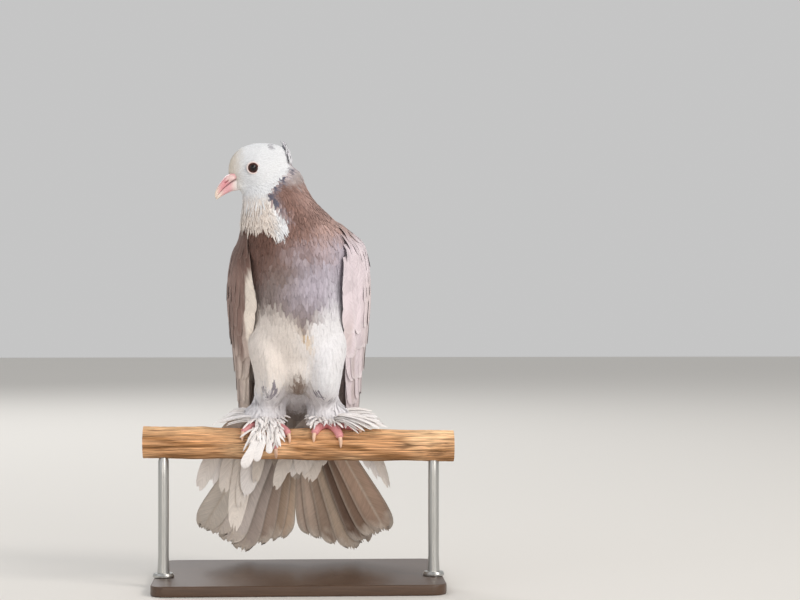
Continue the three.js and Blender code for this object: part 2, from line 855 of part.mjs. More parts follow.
// The stand: a bevelled plate with two rods that end against the branch
function basePlate() {
  const { width, depth, thickness, corner, bevel } = baseSize;
  const w = width / 2 - bevel;
  const d = depth / 2 - bevel;
  const outline = new THREE.Shape()
    .moveTo(-w + corner, -d)
    .lineTo(w - corner, -d)
    .absarc(w - corner, -d + corner, corner, -Math.PI / 2, 0)
    .lineTo(w, d - corner)
    .absarc(w - corner, d - corner, corner, 0, Math.PI / 2)
    .lineTo(-w + corner, d)
    .absarc(-w + corner, d - corner, corner, Math.PI / 2, Math.PI)
    .lineTo(-w, -d + corner)
    .absarc(-w + corner, -d + corner, corner, Math.PI, 1.5 * Math.PI);
  const plate = new THREE.ExtrudeGeometry(outline, {
    depth: thickness - 2 * bevel,
    bevelThickness: bevel,
    bevelSize: bevel,
    bevelSegments: 1,
    curveSegments: 4,
  });
  return outward(plate.translate(0, 0, bevel));
}

function standRod(x) {
  const foot = baseSize.thickness + gap - branchHeight;
  const top = -branch.radius + 5; // the branch is cut out of this end
  const profile = [
    [0, foot],
    [rod.collarRadius, foot],
    [rod.collarRadius, foot + rod.collarHeight - 1],
    [rod.collarRadius - 1, foot + rod.collarHeight],
    [rod.radius, foot + rod.collarHeight],
    [rod.radius, top],
    [0, top],
  ].map(([r, z]) => new THREE.Vector2(r, z));
  const turned = new THREE.LatheGeometry(profile, 14).rotateX(Math.PI / 2).translate(x, 0, 0);
  return outward(turned).subtract(branchRod(gap));
}

const finishes = {
  white: { color: 0xece8e4, roughness: 0.9 },
  neck: { color: 0x86675d, roughness: 0.85 },
  breast: { color: 0x8f8088, roughness: 0.85 },
  wing: { color: 0xb5a5a3, roughness: 0.85 },
  tail: { color: 0x8d7f76, roughness: 0.85 },
  bill: { color: 0xe6b4b0, roughness: 0.5 },
  eye: { color: 0x1a0d0c, roughness: 0.1 },
  toe: { color: 0xd98d92, roughness: 0.6 },
  claw: { color: 0xe9c3ac, roughness: 0.45 },
  bark: { color: 0x9a6a42, roughness: 0.9 },
  plate: { color: 0x4a3a2e, roughness: 0.5 },
  steel: { color: 0xb8b8b6, roughness: 0.3, metalness: 1 },
};

const model = new THREE.Group();
const onBranch = new THREE.Group();
onBranch.position.set(0, branchBack, branchHeight);
model.add(onBranch);

function addNode(name, solid, finish, group = onBranch) {
  const mesh = new THREE.Mesh(geometryOf(largest(solid)), new THREE.MeshStandardMaterial(finishes[finish]));
  mesh.name = name;
  group.add(mesh);
}

// Head, bill and eyes
const headGrown = turnHead(headBall(gap));
let head = fuse([headBall(0), ...crestVanes()]);
for (const [name, cheek] of Object.entries(cheeks)) {
  head = head.add(lids(cheek)).subtract(eye(cheek, gap));
  addNode(`eye_${name}`, turnHead(eye(cheek)), 'eye');
}
addNode('head', turnHead(head), 'white');
const sides = Object.values(cheeks);
const beak = clearOf(fuse([upperBill(), ...sides.map(cere)]), sides.map(nostril));
addNode('bill_upper', turnHead(beak).subtract(headGrown), 'bill');
const jaw = lowerBill().subtract(upperBill(gap));
addNode('bill_lower', turnHead(jaw).subtract(headGrown), 'bill');

// Neck and torso share one loft, parted by a thin cut
const cutAxis = vec(0, -neckCut.lean, 1).normalize();
const cutAt = cutAxis.z * neckCut.z;
const flesh = trunk(0);
const trunkGrown = trunk(gap);
const aboveCut = flesh.trimByPlane(cutAxis.toArray(), cutAt + gap / 2);
addNode('neck', clearOf(aboveCut, [headGrown, turnHead(head)]), 'neck');
addNode('torso', flesh.trimByPlane(cutAxis.clone().negate().toArray(), -(cutAt - gap / 2)), 'breast');

// Tail
const branchGrown = branchRod(gap);
for (const [name, set] of Object.entries(coverts)) {
  const grown = fuse([covertMound(set.face), ...tailCoverts(set)]);
  addNode(`${name}_coverts`, grown.subtract(trunkGrown), 'tail');
}
for (const [name, side] of Object.entries(flanks)) {
  const fan = fuse([tailRootBlock(side), ...tailFeathers(name, side)]);
  const half = fan.trimByPlane([side, 0, 0], side * tailParting + gap / 2);
  addNode(`tail_${name}`, half.subtract(trunkGrown), 'tail');
}

// Legs
const thighsGrown = Object.values(legs).map((leg) => thigh(leg, gap));
for (const [name, leg] of Object.entries(legs)) {
  const gripping = toes[name].map((toe) => ({ digit: toe.name, ...toeAndClaw(leg, toe) }));
  addNode(`thigh_${name}`, thigh(leg).subtract(trunkGrown), 'white');
  const lowerLeg = fuse([shank(leg), footCuff(leg), ...footVanes(name), ...plumeVanes(name)]);
  const rooms = toes[name].map((toe) => wholeToe(leg, toe, gap));
  const shankRoom = [trunkGrown, thigh(leg, gap), branchGrown, hub(leg, gap), ...rooms];
  addNode(`shank_${name}`, clearOf(lowerLeg, shankRoom), 'white');
  const foot = fuse([hub(leg), ...gripping.map((grip) => grip.toe)]);
  addNode(`foot_${name}`, foot.subtract(branchGrown), 'toe');
  for (const grip of gripping) {
    addNode(`claw_${name}_${grip.digit}`, grip.claw.subtract(branchGrown), 'claw');
  }
}

// Wings: the arm with its rows of feathers, and the long primaries below it
for (const [name, side] of Object.entries(flanks)) {
  const body = [trunkGrown, ...thighsGrown];
  const rootRoom = cushion(side, widened(primaryRoot), 10, 6);
  const arm = cushion(side, wingArm, 12, 15).subtract(rootRoom);
  const rows = wingRows.flatMap((row) => wingVanes(side, row));
  addNode(`wing_${name}`, clearOf(fuse([arm, ...rows]), body), 'wing');
  const long = fuse([cushion(side, primaryRoot, 10, 6), ...primaryVanes(side)]);
  addNode(`primaries_${name}`, clearOf(long, body), 'wing');
}

// Perch and stand
addNode('perch', branchRod(), 'bark');
addNode('stand_base', basePlate(), 'plate', model);
for (const [name, side] of Object.entries(flanks)) {
  addNode(`stand_rod_${name}`, standRod(side * rod.fromCentre), 'steel');
}

export default model;
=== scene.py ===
import math
import bpy
import numpy as np
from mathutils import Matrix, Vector
from mathutils.bvhtree import BVHTree
from mathutils.kdtree import KDTree


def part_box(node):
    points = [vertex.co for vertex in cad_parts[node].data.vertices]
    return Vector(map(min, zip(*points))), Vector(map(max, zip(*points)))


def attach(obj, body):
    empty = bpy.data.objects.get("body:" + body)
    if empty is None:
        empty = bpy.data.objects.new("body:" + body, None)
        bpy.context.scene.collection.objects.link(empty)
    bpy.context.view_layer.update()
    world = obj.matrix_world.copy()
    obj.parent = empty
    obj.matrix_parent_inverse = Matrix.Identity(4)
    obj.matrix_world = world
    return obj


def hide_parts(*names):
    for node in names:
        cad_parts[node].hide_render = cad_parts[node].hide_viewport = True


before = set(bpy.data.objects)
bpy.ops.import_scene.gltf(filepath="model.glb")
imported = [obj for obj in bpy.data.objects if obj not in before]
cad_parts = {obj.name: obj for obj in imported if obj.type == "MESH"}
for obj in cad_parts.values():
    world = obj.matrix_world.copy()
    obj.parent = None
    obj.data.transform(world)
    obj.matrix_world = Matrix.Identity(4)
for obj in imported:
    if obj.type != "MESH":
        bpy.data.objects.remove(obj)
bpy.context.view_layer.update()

# Lengths below are millimetres from the branch's axis under the bird, as in the part's own source
millimetre = 0.001
perchLow, perchHigh = (np.array(corner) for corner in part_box("perch"))
birdOrigin = (perchLow + perchHigh) / 2


def inMetres(points):
    return np.asarray(points) * millimetre + birdOrigin


def inMillimetres(points):
    return (np.asarray(points) - birdOrigin) / millimetre


def unit(vectors):
    # the same directions, each with a length of one
    return vectors / np.maximum(np.linalg.norm(vectors, axis=-1, keepdims=True), 1e-9)


def ease(t):
    # a soft step from 0 to 1
    t = np.clip(t, 0, 1)
    return t * t * (3 - 2 * t)


def mix(a, b, t):
    return a + (b - a) * t


def through(stops):
    # a smooth curve through [place, value] stops
    at, value = (np.array(column, float) for column in zip(*stops))
    order = np.arange(len(at))
    low, high = np.maximum(order - 1, 0), np.minimum(order + 1, len(at) - 1)
    slope = (value[high] - value[low]) / (at[high] - at[low])

    def curve(t):
        t = np.clip(t, at[0], at[-1])
        i = np.clip(np.searchsorted(at, t, side="right") - 1, 0, len(at) - 2)
        width = at[i + 1] - at[i]
        u = (t - at[i]) / width
        rise = value[i] * (1 + 2 * u) * (1 - u) ** 2 + value[i + 1] * (3 - 2 * u) * u**2
        return rise + width * u * (1 - u) * (slope[i] * (1 - u) - slope[i + 1] * u)

    return curve


def pathThrough(points):
    # a smooth path through points, from 0 at the first to 1 at the last
    last = len(points) - 1
    axes = [through([(i / last, p[axis]) for i, p in enumerate(points)]) for axis in range(3)]
    return lambda t: np.stack([axis(np.asarray(t, float)) for axis in axes], axis=-1)


def ripple(points, size, seed):
    # smooth noise from -1 to 1, with lumps about "size" millimetres across
    draw = np.random.default_rng(seed)
    waves = unit(draw.normal(size=(12, 3))) * draw.uniform(0.6, 1.5, (12, 1)) * math.pi / size
    return np.clip(np.sin(points @ waves.T + draw.uniform(0, 2 * math.pi, 12)).mean(-1) * 2.4, -1, 1)


def linear(hexColour):
    # an sRGB hex colour as the linear values that a shader takes
    channels = [int(hexColour[i : i + 2], 16) / 255 for i in (1, 3, 5)]
    return np.array([c / 12.92 if c <= 0.04045 else ((c + 0.055) / 1.055) ** 2.4 for c in channels])


def blend(under, over, share):
    # one colour over another, by a share for each point
    return mix(under, over, np.clip(share, 0, 1)[..., None])


# Camera, light and floor

cameraSettings = {"place": (0, -1.525, 0.215), "pan": 101 / 2000, "lens": 90, "sensor": 36}


def makeCamera():
    camera = bpy.data.objects.new("camera", bpy.data.cameras.new("camera"))
    bpy.context.collection.objects.link(camera)
    camera.location = cameraSettings["place"]
    camera.rotation_euler = (math.pi / 2, 0, -math.atan(cameraSettings["pan"]))
    camera.data.lens = cameraSettings["lens"]
    camera.data.sensor_width = cameraSettings["sensor"]
    camera.data.clip_start = 0.05
    bpy.context.scene.camera = camera


lightSettings = {
    "world": ("#ffffff", 0.56),
    # place, target, size, spread in degrees, watts and tint
    "lamps": [
        ((2.1, -1.6, 2.2), (0, 0, 0.2), 1.1, 100, 11.4, "#fff9f3"),  # key, from the bird's left
        ((-2.1, -1.6, 1.3), (0, 0, 0.2), 2.2, 180, 9, "#f4f7ff"),  # fill
        ((1.2, -2.5, 0.9), (0, 0, 0.15), 1.5, 100, 7.4, "#fffaf4"),  # low front
        ((-0.9, 2.1, 1.9), (0, 0, 0.2), 1.5, 180, 26, "#ffffff"),  # from behind
        ((-0.5, -1.7, 0.12), (0, 0.06, 0.02), 0.5, 30, 0.1, "#fff4ea"),  # on the hanging tail
    ],
    "floor": "#dedbd6",
}


def makeLights():
    world = bpy.data.worlds.new("studio")
    bpy.context.scene.world = world
    world.use_nodes = True
    background = world.node_tree.nodes["Background"]
    tint, strength = lightSettings["world"]
    background.inputs["Color"].default_value = (*linear(tint), 1)
    background.inputs["Strength"].default_value = strength
    for place, target, size, spread, watts, lampTint in lightSettings["lamps"]:
        light = bpy.data.lights.new("soft lamp", "AREA")
        light.size = size
        light.spread = math.radians(spread)
        light.energy = watts
        light.color = linear(lampTint)
        holder = bpy.data.objects.new("soft lamp", light)
        holder.location = place
        holder.rotation_euler = (Vector(target) - holder.location).to_track_quat("-Z", "Y").to_euler()
        bpy.context.collection.objects.link(holder)
    bpy.context.scene.view_settings.view_transform = "Standard"


makeCamera()
makeLights()
print("camera and lights made")


# Materials


def addNode(tree, kind, inputs=(), **settings):
    # inputs are values, or other nodes' outputs to link
    node = tree.nodes.new(kind)
    for name, value in settings.items():
        setattr(node, name, value)
    for name, value in dict(inputs).items():
        if isinstance(value, bpy.types.NodeSocket):
            tree.links.new(value, node.inputs[name])
        else:
            node.inputs[name].default_value = value
    return node


def newMaterial(name, **shaderValues):
    # shaderValues are the shader's own sockets, with _ for each space
    material = bpy.data.materials.new(name)
    material.use_nodes = True
    shader = material.node_tree.nodes["Principled BSDF"]
    for socket, value in shaderValues.items():
        shader.inputs[socket.replace("_", " ")].default_value = value
    return material, material.node_tree, shader


def plumageMaterial(name, barbSpacing, barbDepth, streaks, sheen):
    # Keratin vanes: matt, with barbs that slant off the shaft and catch the light in fine lines.
    # Real barbs lie 0.3 to 0.4 mm apart, too fine to show, so barbSpacing is about twice as coarse.
    material, tree, shader = newMaterial(name, Roughness=0.72, Specular_IOR_Level=0.25, Sheen_Weight=sheen)
    tint = addNode(tree, "ShaderNodeAttribute", attribute_name="tint")
    vane = addNode(tree, "ShaderNodeUVMap", uv_map="vane")
    axes = addNode(tree, "ShaderNodeSeparateXYZ", {"Vector": vane.outputs["UV"]})
    across = addNode(tree, "ShaderNodeMath", {0: axes.outputs["X"]}, operation="ABSOLUTE")
    slant = addNode(tree, "ShaderNodeMath", {0: across.outputs[0], 1: 1.1}, operation="MULTIPLY")
    along = addNode(tree, "ShaderNodeMath", {0: axes.outputs["Y"], 1: slant.outputs[0]}, operation="SUBTRACT")
    phase = addNode(
        tree, "ShaderNodeMath", {0: along.outputs[0], 1: 2 * math.pi / barbSpacing}, operation="MULTIPLY"
    )
    barb = addNode(tree, "ShaderNodeMath", {0: phase.outputs[0]}, operation="SINE")
    grain = addNode(
        tree,
        "ShaderNodeCombineXYZ",
        {"X": along.outputs[0], "Y": axes.outputs["X"], "Z": tint.outputs["Alpha"]},
    )
    spread = addNode(
        tree,
        "ShaderNodeMapping",
        {"Vector": grain.outputs[0], "Scale": (1.1, 0.16, 37.0)},
        vector_type="POINT",
    )
    noise = addNode(tree, "ShaderNodeTexNoise", {"Vector": spread.outputs[0], "Scale": 1.0, "Detail": 3.0})
    shade = addNode(
        tree,
        "ShaderNodeMapRange",
        {
            "Value": noise.outputs["Fac"],
            "From Min": 0.3,
            "From Max": 0.7,
            "To Min": 1 - streaks,
            "To Max": 1 + streaks,
        },
    )
    streaked = addNode(
        tree, "ShaderNodeVectorMath", {0: tint.outputs["Color"], "Scale": shade.outputs[0]}, operation="SCALE"
    )
    tree.links.new(streaked.outputs[0], shader.inputs["Base Color"])
    height = addNode(tree, "ShaderNodeMath", {0: barb.outputs[0], 1: noise.outputs["Fac"]}, operation="ADD")
    bump = addNode(
        tree, "ShaderNodeBump", {"Height": height.outputs[0], "Strength": barbDepth, "Distance": 0.0001}
    )
    tree.links.new(bump.outputs[0], shader.inputs["Normal"])
    return material


def tintedMaterial(name, grainSize, depth, mottle, stretch=(1, 1, 1), **shaderValues):
    # a painted tint with fine noise in it; grainSize is the size of one grain in millimetres, and
    # stretch draws the grain out along an axis where it is small
    material, tree, shader = newMaterial(name, **shaderValues)
    tint = addNode(tree, "ShaderNodeAttribute", attribute_name="tint")
    place = addNode(tree, "ShaderNodeTexCoord")
    scaled = addNode(
        tree,
        "ShaderNodeMapping",
        {"Vector": place.outputs["Object"], "Scale": tuple(s / (grainSize * millimetre) for s in stretch)},
    )
    noise = addNode(tree, "ShaderNodeTexNoise", {"Vector": scaled.outputs[0], "Scale": 1.0, "Detail": 4.0})
    shade = addNode(
        tree,
        "ShaderNodeMapRange",
        {
            "Value": noise.outputs["Fac"],
            "From Min": 0.25,
            "From Max": 0.75,
            "To Min": 1 - mottle,
            "To Max": 1 + mottle,
        },
    )
    mottled = addNode(
        tree, "ShaderNodeVectorMath", {0: tint.outputs["Color"], "Scale": shade.outputs[0]}, operation="SCALE"
    )
    tree.links.new(mottled.outputs[0], shader.inputs["Base Color"])
    bump = addNode(
        tree,
        "ShaderNodeBump",
        {"Height": noise.outputs["Fac"], "Strength": depth, "Distance": grainSize * millimetre * 0.4},
    )
    tree.links.new(bump.outputs[0], shader.inputs["Normal"])
    return material


# contour feathers: loose soft barbs, matt with a faint bloom at grazing angles
contourVanes = plumageMaterial("keratin contour feathers", 0.8, 0.25, 0.07, 0.15)
# flight feathers: stiffer vanes with hooked barbs, so their lines and streaks show more
flightVanes = plumageMaterial("keratin flight feathers", 0.9, 0.35, 0.1, 0.1)
# down: dull fluff that shows only between the feathers and keeps the gaps from looking bare
featheredSkin = tintedMaterial(
    "down over skin", 0.9, 0.6, 0.12, Roughness=0.85, Specular_IOR_Level=0.2, Sheen_Weight=0.2
)
# bill: grown keratin, smooth enough for a broad soft highlight along its ridge
billHorn = tintedMaterial(
    "bill horn",
    0.5,
    0.12,
    0.05,
    Roughness=0.38,
    Specular_IOR_Level=0.5,
    Coat_Weight=0.15,
    Coat_Roughness=0.3,
)
# eyeball: a film of tears over a dark iris gives one small sharp highlight
wetEye = tintedMaterial(
    "wet eyeball",
    0.25,
    0.0,
    0.25,
    Roughness=0.25,
    Specular_IOR_Level=0.05,
    Coat_Weight=0.6,
    Coat_Roughness=0.03,
)
# lids: dry bare skin, finely pitted, without gloss
lidSkin = tintedMaterial("lid skin", 0.35, 0.5, 0.07, Roughness=0.5)
# toes: horny scales, half matt, each with a little light on its edge
toeSkin = tintedMaterial("scaled toe skin", 0.6, 0.35, 0.1, Roughness=0.48, Specular_IOR_Level=0.45)
# claws: hard keratin worn smooth, with a small soft gloss
clawHorn = tintedMaterial(
    "claw horn", 0.3, 0.15, 0.06, Roughness=0.35, Coat_Weight=0.2, Coat_Roughness=0.25
)
# branch: dry fibres bared by weather, rough and without shine; fibres 0.3 mm wide, drawn at 0.9
barkWood = tintedMaterial(
    "weathered stripped wood",
    0.9,
    1.0,
    0.75,
    stretch=(0.04, 1, 1),
    Roughness=0.85,
    Specular_IOR_Level=0.25,
)
# rods: brushed lines along the rod soften its highlights; real lines 0.05 mm wide, drawn at 0.35
steel = tintedMaterial(
    "brushed stainless steel", 0.35, 0.2, 0.06, stretch=(1, 1, 0.03), Metallic=1.0, Roughness=0.32
)
# base: dark stain in the pores under thin satin varnish; pores 0.3 mm wide, drawn at 1.1
stainedWood = tintedMaterial(
    "dark stained hardwood",
    1.1,
    0.25,
    0.22,
    stretch=(0.05, 1, 1),
    Roughness=0.42,
    Specular_IOR_Level=0.4,
    Coat_Weight=0.25,
    Coat_Roughness=0.25,
)
print("materials made")


# Meshes from primitives and from arrays


def deselectAll():
    bpy.ops.object.select_all(action="DESELECT")


def useOnly(piece):
    deselectAll()
    piece.select_set(True)
    bpy.context.view_layer.objects.active = piece


def joinPieces(parts, name):
    deselectAll()
    for part in parts:
        part.select_set(True)
    bpy.context.view_layer.objects.active = parts[0]
    bpy.ops.object.join()
    parts[0].name = name
    return parts[0]


def pointsOf(piece):
    flat = np.empty(len(piece.data.vertices) * 3)
    piece.data.vertices.foreach_get("co", flat)
    return flat.reshape(-1, 3)


def movePoints(piece, points):
    piece.data.vertices.foreach_set("co", np.asarray(points).ravel())
    piece.data.update()


def facesOutwards(piece):
    useOnly(piece)
    bpy.ops.object.mode_set(mode="EDIT")
    bpy.ops.mesh.select_all(action="SELECT")
    bpy.ops.mesh.normals_make_consistent(inside=False)
    bpy.ops.object.mode_set(mode="OBJECT")


def loftedBall(name, around, along, place):
    # a ball whose points go where place(t, angle, roundness) says: t runs from pole to pole,
    # angle goes round, and roundness is 0 at the poles and 1 halfway
    deselectAll()
    bpy.ops.mesh.primitive_uv_sphere_add(segments=around, ring_count=along, radius=1)
    piece = bpy.context.object
    piece.name = name
    x, y, z = pointsOf(piece).T
    height = np.clip(z, -1, 1)
    pole = np.abs(height) > 1 - 1e-6
    angle = np.where(pole, 0, np.arctan2(x, y))
    roundness = np.where(pole, 0, np.sqrt(1 - height**2))
    movePoints(piece, inMetres(place((1 - height) / 2, angle, roundness)))
    facesOutwards(piece)
    bpy.ops.object.shade_smooth()
    return piece


def applyModifier(piece, kind, **settings):
    useOnly(piece)
    modifier = piece.modifiers.new(kind.lower(), kind)
    for name, value in settings.items():
        setattr(modifier, name, value)
    bpy.ops.object.modifier_apply(modifier=modifier.name)


def paint(piece, colours):
    # a colour for each point, which the materials read as "tint"
    rgba = np.ones((len(piece.data.vertices), 4), np.float32)
    rgba[:, :3] = np.clip(colours, 0, 1)
    layer = piece.data.color_attributes.new(name="tint", type="FLOAT_COLOR", domain="POINT")
    layer.data.foreach_set("color", rgba.ravel())


def finishPiece(piece, material, nodes=()):
    piece.data.materials.clear()
    piece.data.materials.append(material)
    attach(piece, "root")
    if nodes:
        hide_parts(*nodes)


# A feather is a thin closed blade: a grid of points for its face, with a back that shares the
# grid's edge. Small ones have few rows and columns.


def bladeGrid(rows, columns):
    t, u = (grid.ravel() for grid in np.meshgrid(rows, columns, indexing="ij"))
    wide, tall = len(columns), len(rows)
    front = np.arange(tall * wide).reshape(tall, wide)
    back = front.copy()
    inner = front[1:-1, 1:-1].ravel()
    back[1:-1, 1:-1] = tall * wide + np.arange(inner.size).reshape(tall - 2, wide - 2)
    quads = [
        np.stack([g[:-1, :-1], g[1:, :-1], g[1:, 1:], g[:-1, 1:]], -1).reshape(-1, 4) for g in (front, back)
    ]
    face = np.zeros(tall * wide)
    face[inner] = 1
    row, column = np.repeat(np.arange(tall), wide), np.tile(np.arange(wide), tall)
    return {
        "size": (tall, wide),
        "inner": inner,
        "t": np.concatenate([t, t[inner]]),
        "u": np.concatenate([u, u[inner]]),
        "face": np.concatenate([face, -np.ones(inner.size)]),
        "row": np.concatenate([row, row[inner]]),
        "column": np.concatenate([column, column[inner]]),
        "quads": np.concatenate([quads[0], quads[1][:, ::-1]]),
        "rows": np.asarray(rows, float),
    }


coatLayers = ("points", "faces", "tint", "vane", "bake", "shine")


def newCoat():
    # count is the number of points so far, used the number of large feathers in the chart
    return {key: [] for key in coatLayers} | {"count": 0, "used": 0}


def addBlades(coat, points, tint, vane, bake, blade, upward=None, softness=0.0):
    # points, tint, vane and bake: feathers x points x values. The light falls on a feather as on
    # the plumage round it by its softness, so that soft feathers don't look like scales.
    many, each = points.shape[:2]
    tall, wide = blade["size"]
    front = points[:, : tall * wide].reshape(many, tall, wide, 3)
    normal = unit(np.cross(np.gradient(front, axis=1), np.gradient(front, axis=2))).reshape(many, -1, 3)
    depth = points[:, blade["inner"]] - points[:, tall * wide :]
    turned = (depth * normal[:, blade["inner"]]).sum((1, 2)) < 0
    normal = np.where(turned[:, None, None], -normal, normal)
    normal = np.concatenate([normal, normal[:, blade["inner"]]], 1)
    if upward is not None:
        normal = unit(mix(normal, upward, softness))
    quads = blade["quads"]
    chosen = np.where(turned[:, None, None], quads[:, ::-1], quads)
    shine = normal[np.arange(many)[:, None, None], chosen]
    shine[:, len(quads) // 2 :] *= -1
    coat["faces"].append((coat["count"] + np.arange(many)[:, None, None] * each + chosen).reshape(-1, 4))
    coat["shine"].append(shine.reshape(-1, 3))
    for key, values in (("points", points), ("tint", tint), ("vane", vane), ("bake", bake)):
        coat[key].append(values.reshape(-1, values.shape[-1]))
    coat["count"] += many * each


def coatPiece(name, coat, material, nodes=()):
    points, faces, tint, vane, bake, shine = (np.concatenate(coat[key]) for key in coatLayers)
    mesh = bpy.data.meshes.new(name)
    mesh.vertices.add(len(points))
    mesh.vertices.foreach_set("co", inMetres(points).ravel())
    mesh.loops.add(faces.size)
    mesh.loops.foreach_set("vertex_index", faces.ravel())
    mesh.polygons.add(len(faces))
    mesh.polygons.foreach_set("loop_start", np.arange(0, faces.size, 4))
    mesh.update(calc_edges=True)
    for layerName, places in (("OFBake", bake), ("vane", vane)):
        layer = mesh.uv_layers.new(name=layerName)
        layer.data.foreach_set("uv", places[faces.ravel()].astype(np.float32).ravel())
    mesh.uv_layers["OFBake"].active_render = True
    layer = mesh.color_attributes.new(name="tint", type="FLOAT_COLOR", domain="POINT")
    layer.data.foreach_set("color", np.clip(tint, 0, 1).astype(np.float32).ravel())
    mesh.normals_split_custom_set(shine.astype(np.float32))
    piece = bpy.data.objects.new(name, mesh)
    bpy.context.collection.objects.link(piece)
    finishPiece(piece, material, nodes)
    print(name, 2 * len(faces), "triangles")
    return piece


# The bird's plan, in its own millimetres

skull = {"centre": np.array([-28.4, -5.0, 201.2]), "turn": math.radians(9)}
eyePlan = {"x": -36, "z": 205.6, "fromMiddle": 10.2, "radius": 4.6}
billFrom = np.array([-34.4, -5.0, 206.2])
# the leg's root on the branch and its ankle, by x
legPlan = {
    "right": {"side": -1, "hub": -25, "ankle": -22.5},
    "left": {"side": 1, "hub": 21, "ankle": 18.5},
}
flanks = {"left": 1, "right": -1}  # the sign of x on the bird's body
cheeks = {"left": -1, "right": 1}  # the sign of y on its head, which faces -x
branch = {"radius": 11.5, "length": 232, "slope": -0.015}


def turnHead(points):
    offset = np.asarray(points) - skull["centre"]
    c, s = math.cos(skull["turn"]), math.sin(skull["turn"])
    x, y, z = (offset[..., axis] for axis in range(3))
    return np.stack([x * c - y * s, x * s + y * c, z], -1) + skull["centre"]


def eyeCentre(side):
    # before the head is turned
    return np.array([eyePlan["x"], skull["centre"][1] + side * eyePlan["fromMiddle"], eyePlan["z"]])


billRoot = turnHead(np.array([-46.0, -5.0, 197.0]))

# Markings, by place on the bird

shades = {
    name: linear(value)
    for name, value in {
        "white": "#e0e2e5",
        # painted shade for the face's front edge, over a creamy tone
        "paintedFaceShade": "#c9bfb1",
        "napeGrey": "#ada4a3",
        "bibCream": "#dccfc4",
        "speckle": "#5c5b69",
        "neck": "#7d6057",
        "neckPink": "#b0938b",
        # painted shade under the bib on the bird's right
        "underBibShadow": "#482b1e",
        "lavender": "#aaa2ad",
        "taupe": "#837571",
        "paleBlue": "#bfbcc5",
        "cream": "#ddd4cd",
        "bellyWhite": "#e2e1e4",
        "gold": "#c8a97e",
        # brown of the painted shade in the cleft between the thighs; also a darker tone of the undertail
        # coverts
        "cleft": "#6f5948",
        "legWhite": "#e0dee2",
        "fleck": "#645b6a",
        "backGrey": "#9a8e92",
        "rump": "#a59a96",
        "wingBrown": "#8a6f66",
        "wingTaupe": "#a09087",
        "strip": "#efe4d8",
        "wingStreak": "#dfcfc5",
        "wingPale": "#dccfd5",
        "wingEdge": "#efe9eb",
        "wingTan": "#b9a89d",
        "tailBrown": "#a08a79",
        "tailPale": "#ddd2c6",
        # painted shade between overlapping tail feathers
        "tailGapShadow": "#5d4f48",
        "shaft": "#d8cbbc",
        "muff": "#efecec",
        "muffCream": "#ded4c9",
    }.items()
}

# x of the white cheek's rear edge, by height
cheekEdge = through([
    (150, -11), (156, -9), (162, -8.6), (170.6, -13.5), (178, -19.6), (184.6, -22.5),
    (189, -20.5), (194, -15.5), (200, -10.3), (205, -6.6), (211, -7.4), (218, -9),
])
# heights by x: the bib's lower end, where the breast turns grey and where the belly turns cream
bibEnd = through([
    (-45, 166), (-41, 163), (-36, 160), (-31, 158), (-26, 160),
    (-21, 157), (-17, 153), (-13, 151), (-9, 156), (-6, 162),
])
greyStart = through([(-45, 120), (-30, 127), (-10, 139), (10, 147), (35, 151)])
creamStart = through([
    (-42, 110), (-33, 105), (-15, 100), (-8, 97), (-2, 92), (3, 86),
    (7, 91), (12, 97), (20, 101), (32, 101), (42, 105),
])
# dark specks on the bird's front, by x and z
fleckSpots = {
    "legRight": [(-26, 43), (-22.5, 40.5), (-19, 42.5), (-20.5, 37), (-16.5, 38.5), (-24.5, 38), (-18, 45)],
    "legLeft": [(13, 40), (16, 36), (24, 34)],
    "crown": [(-21, 222), (-19.5, 220.5)],
}


def near(places, spots, reach):
    # how close a place on the bird's front lies to one of the spots, given by their x and z
    closeness = np.zeros(len(places))
    for x, z in spots:
        apart = np.hypot(places[:, 0] - x, places[:, 2] - z)
        closeness = np.maximum(closeness, 1 - apart / reach)
    return ease(closeness * 1.6) * (places[:, 1] < 4)


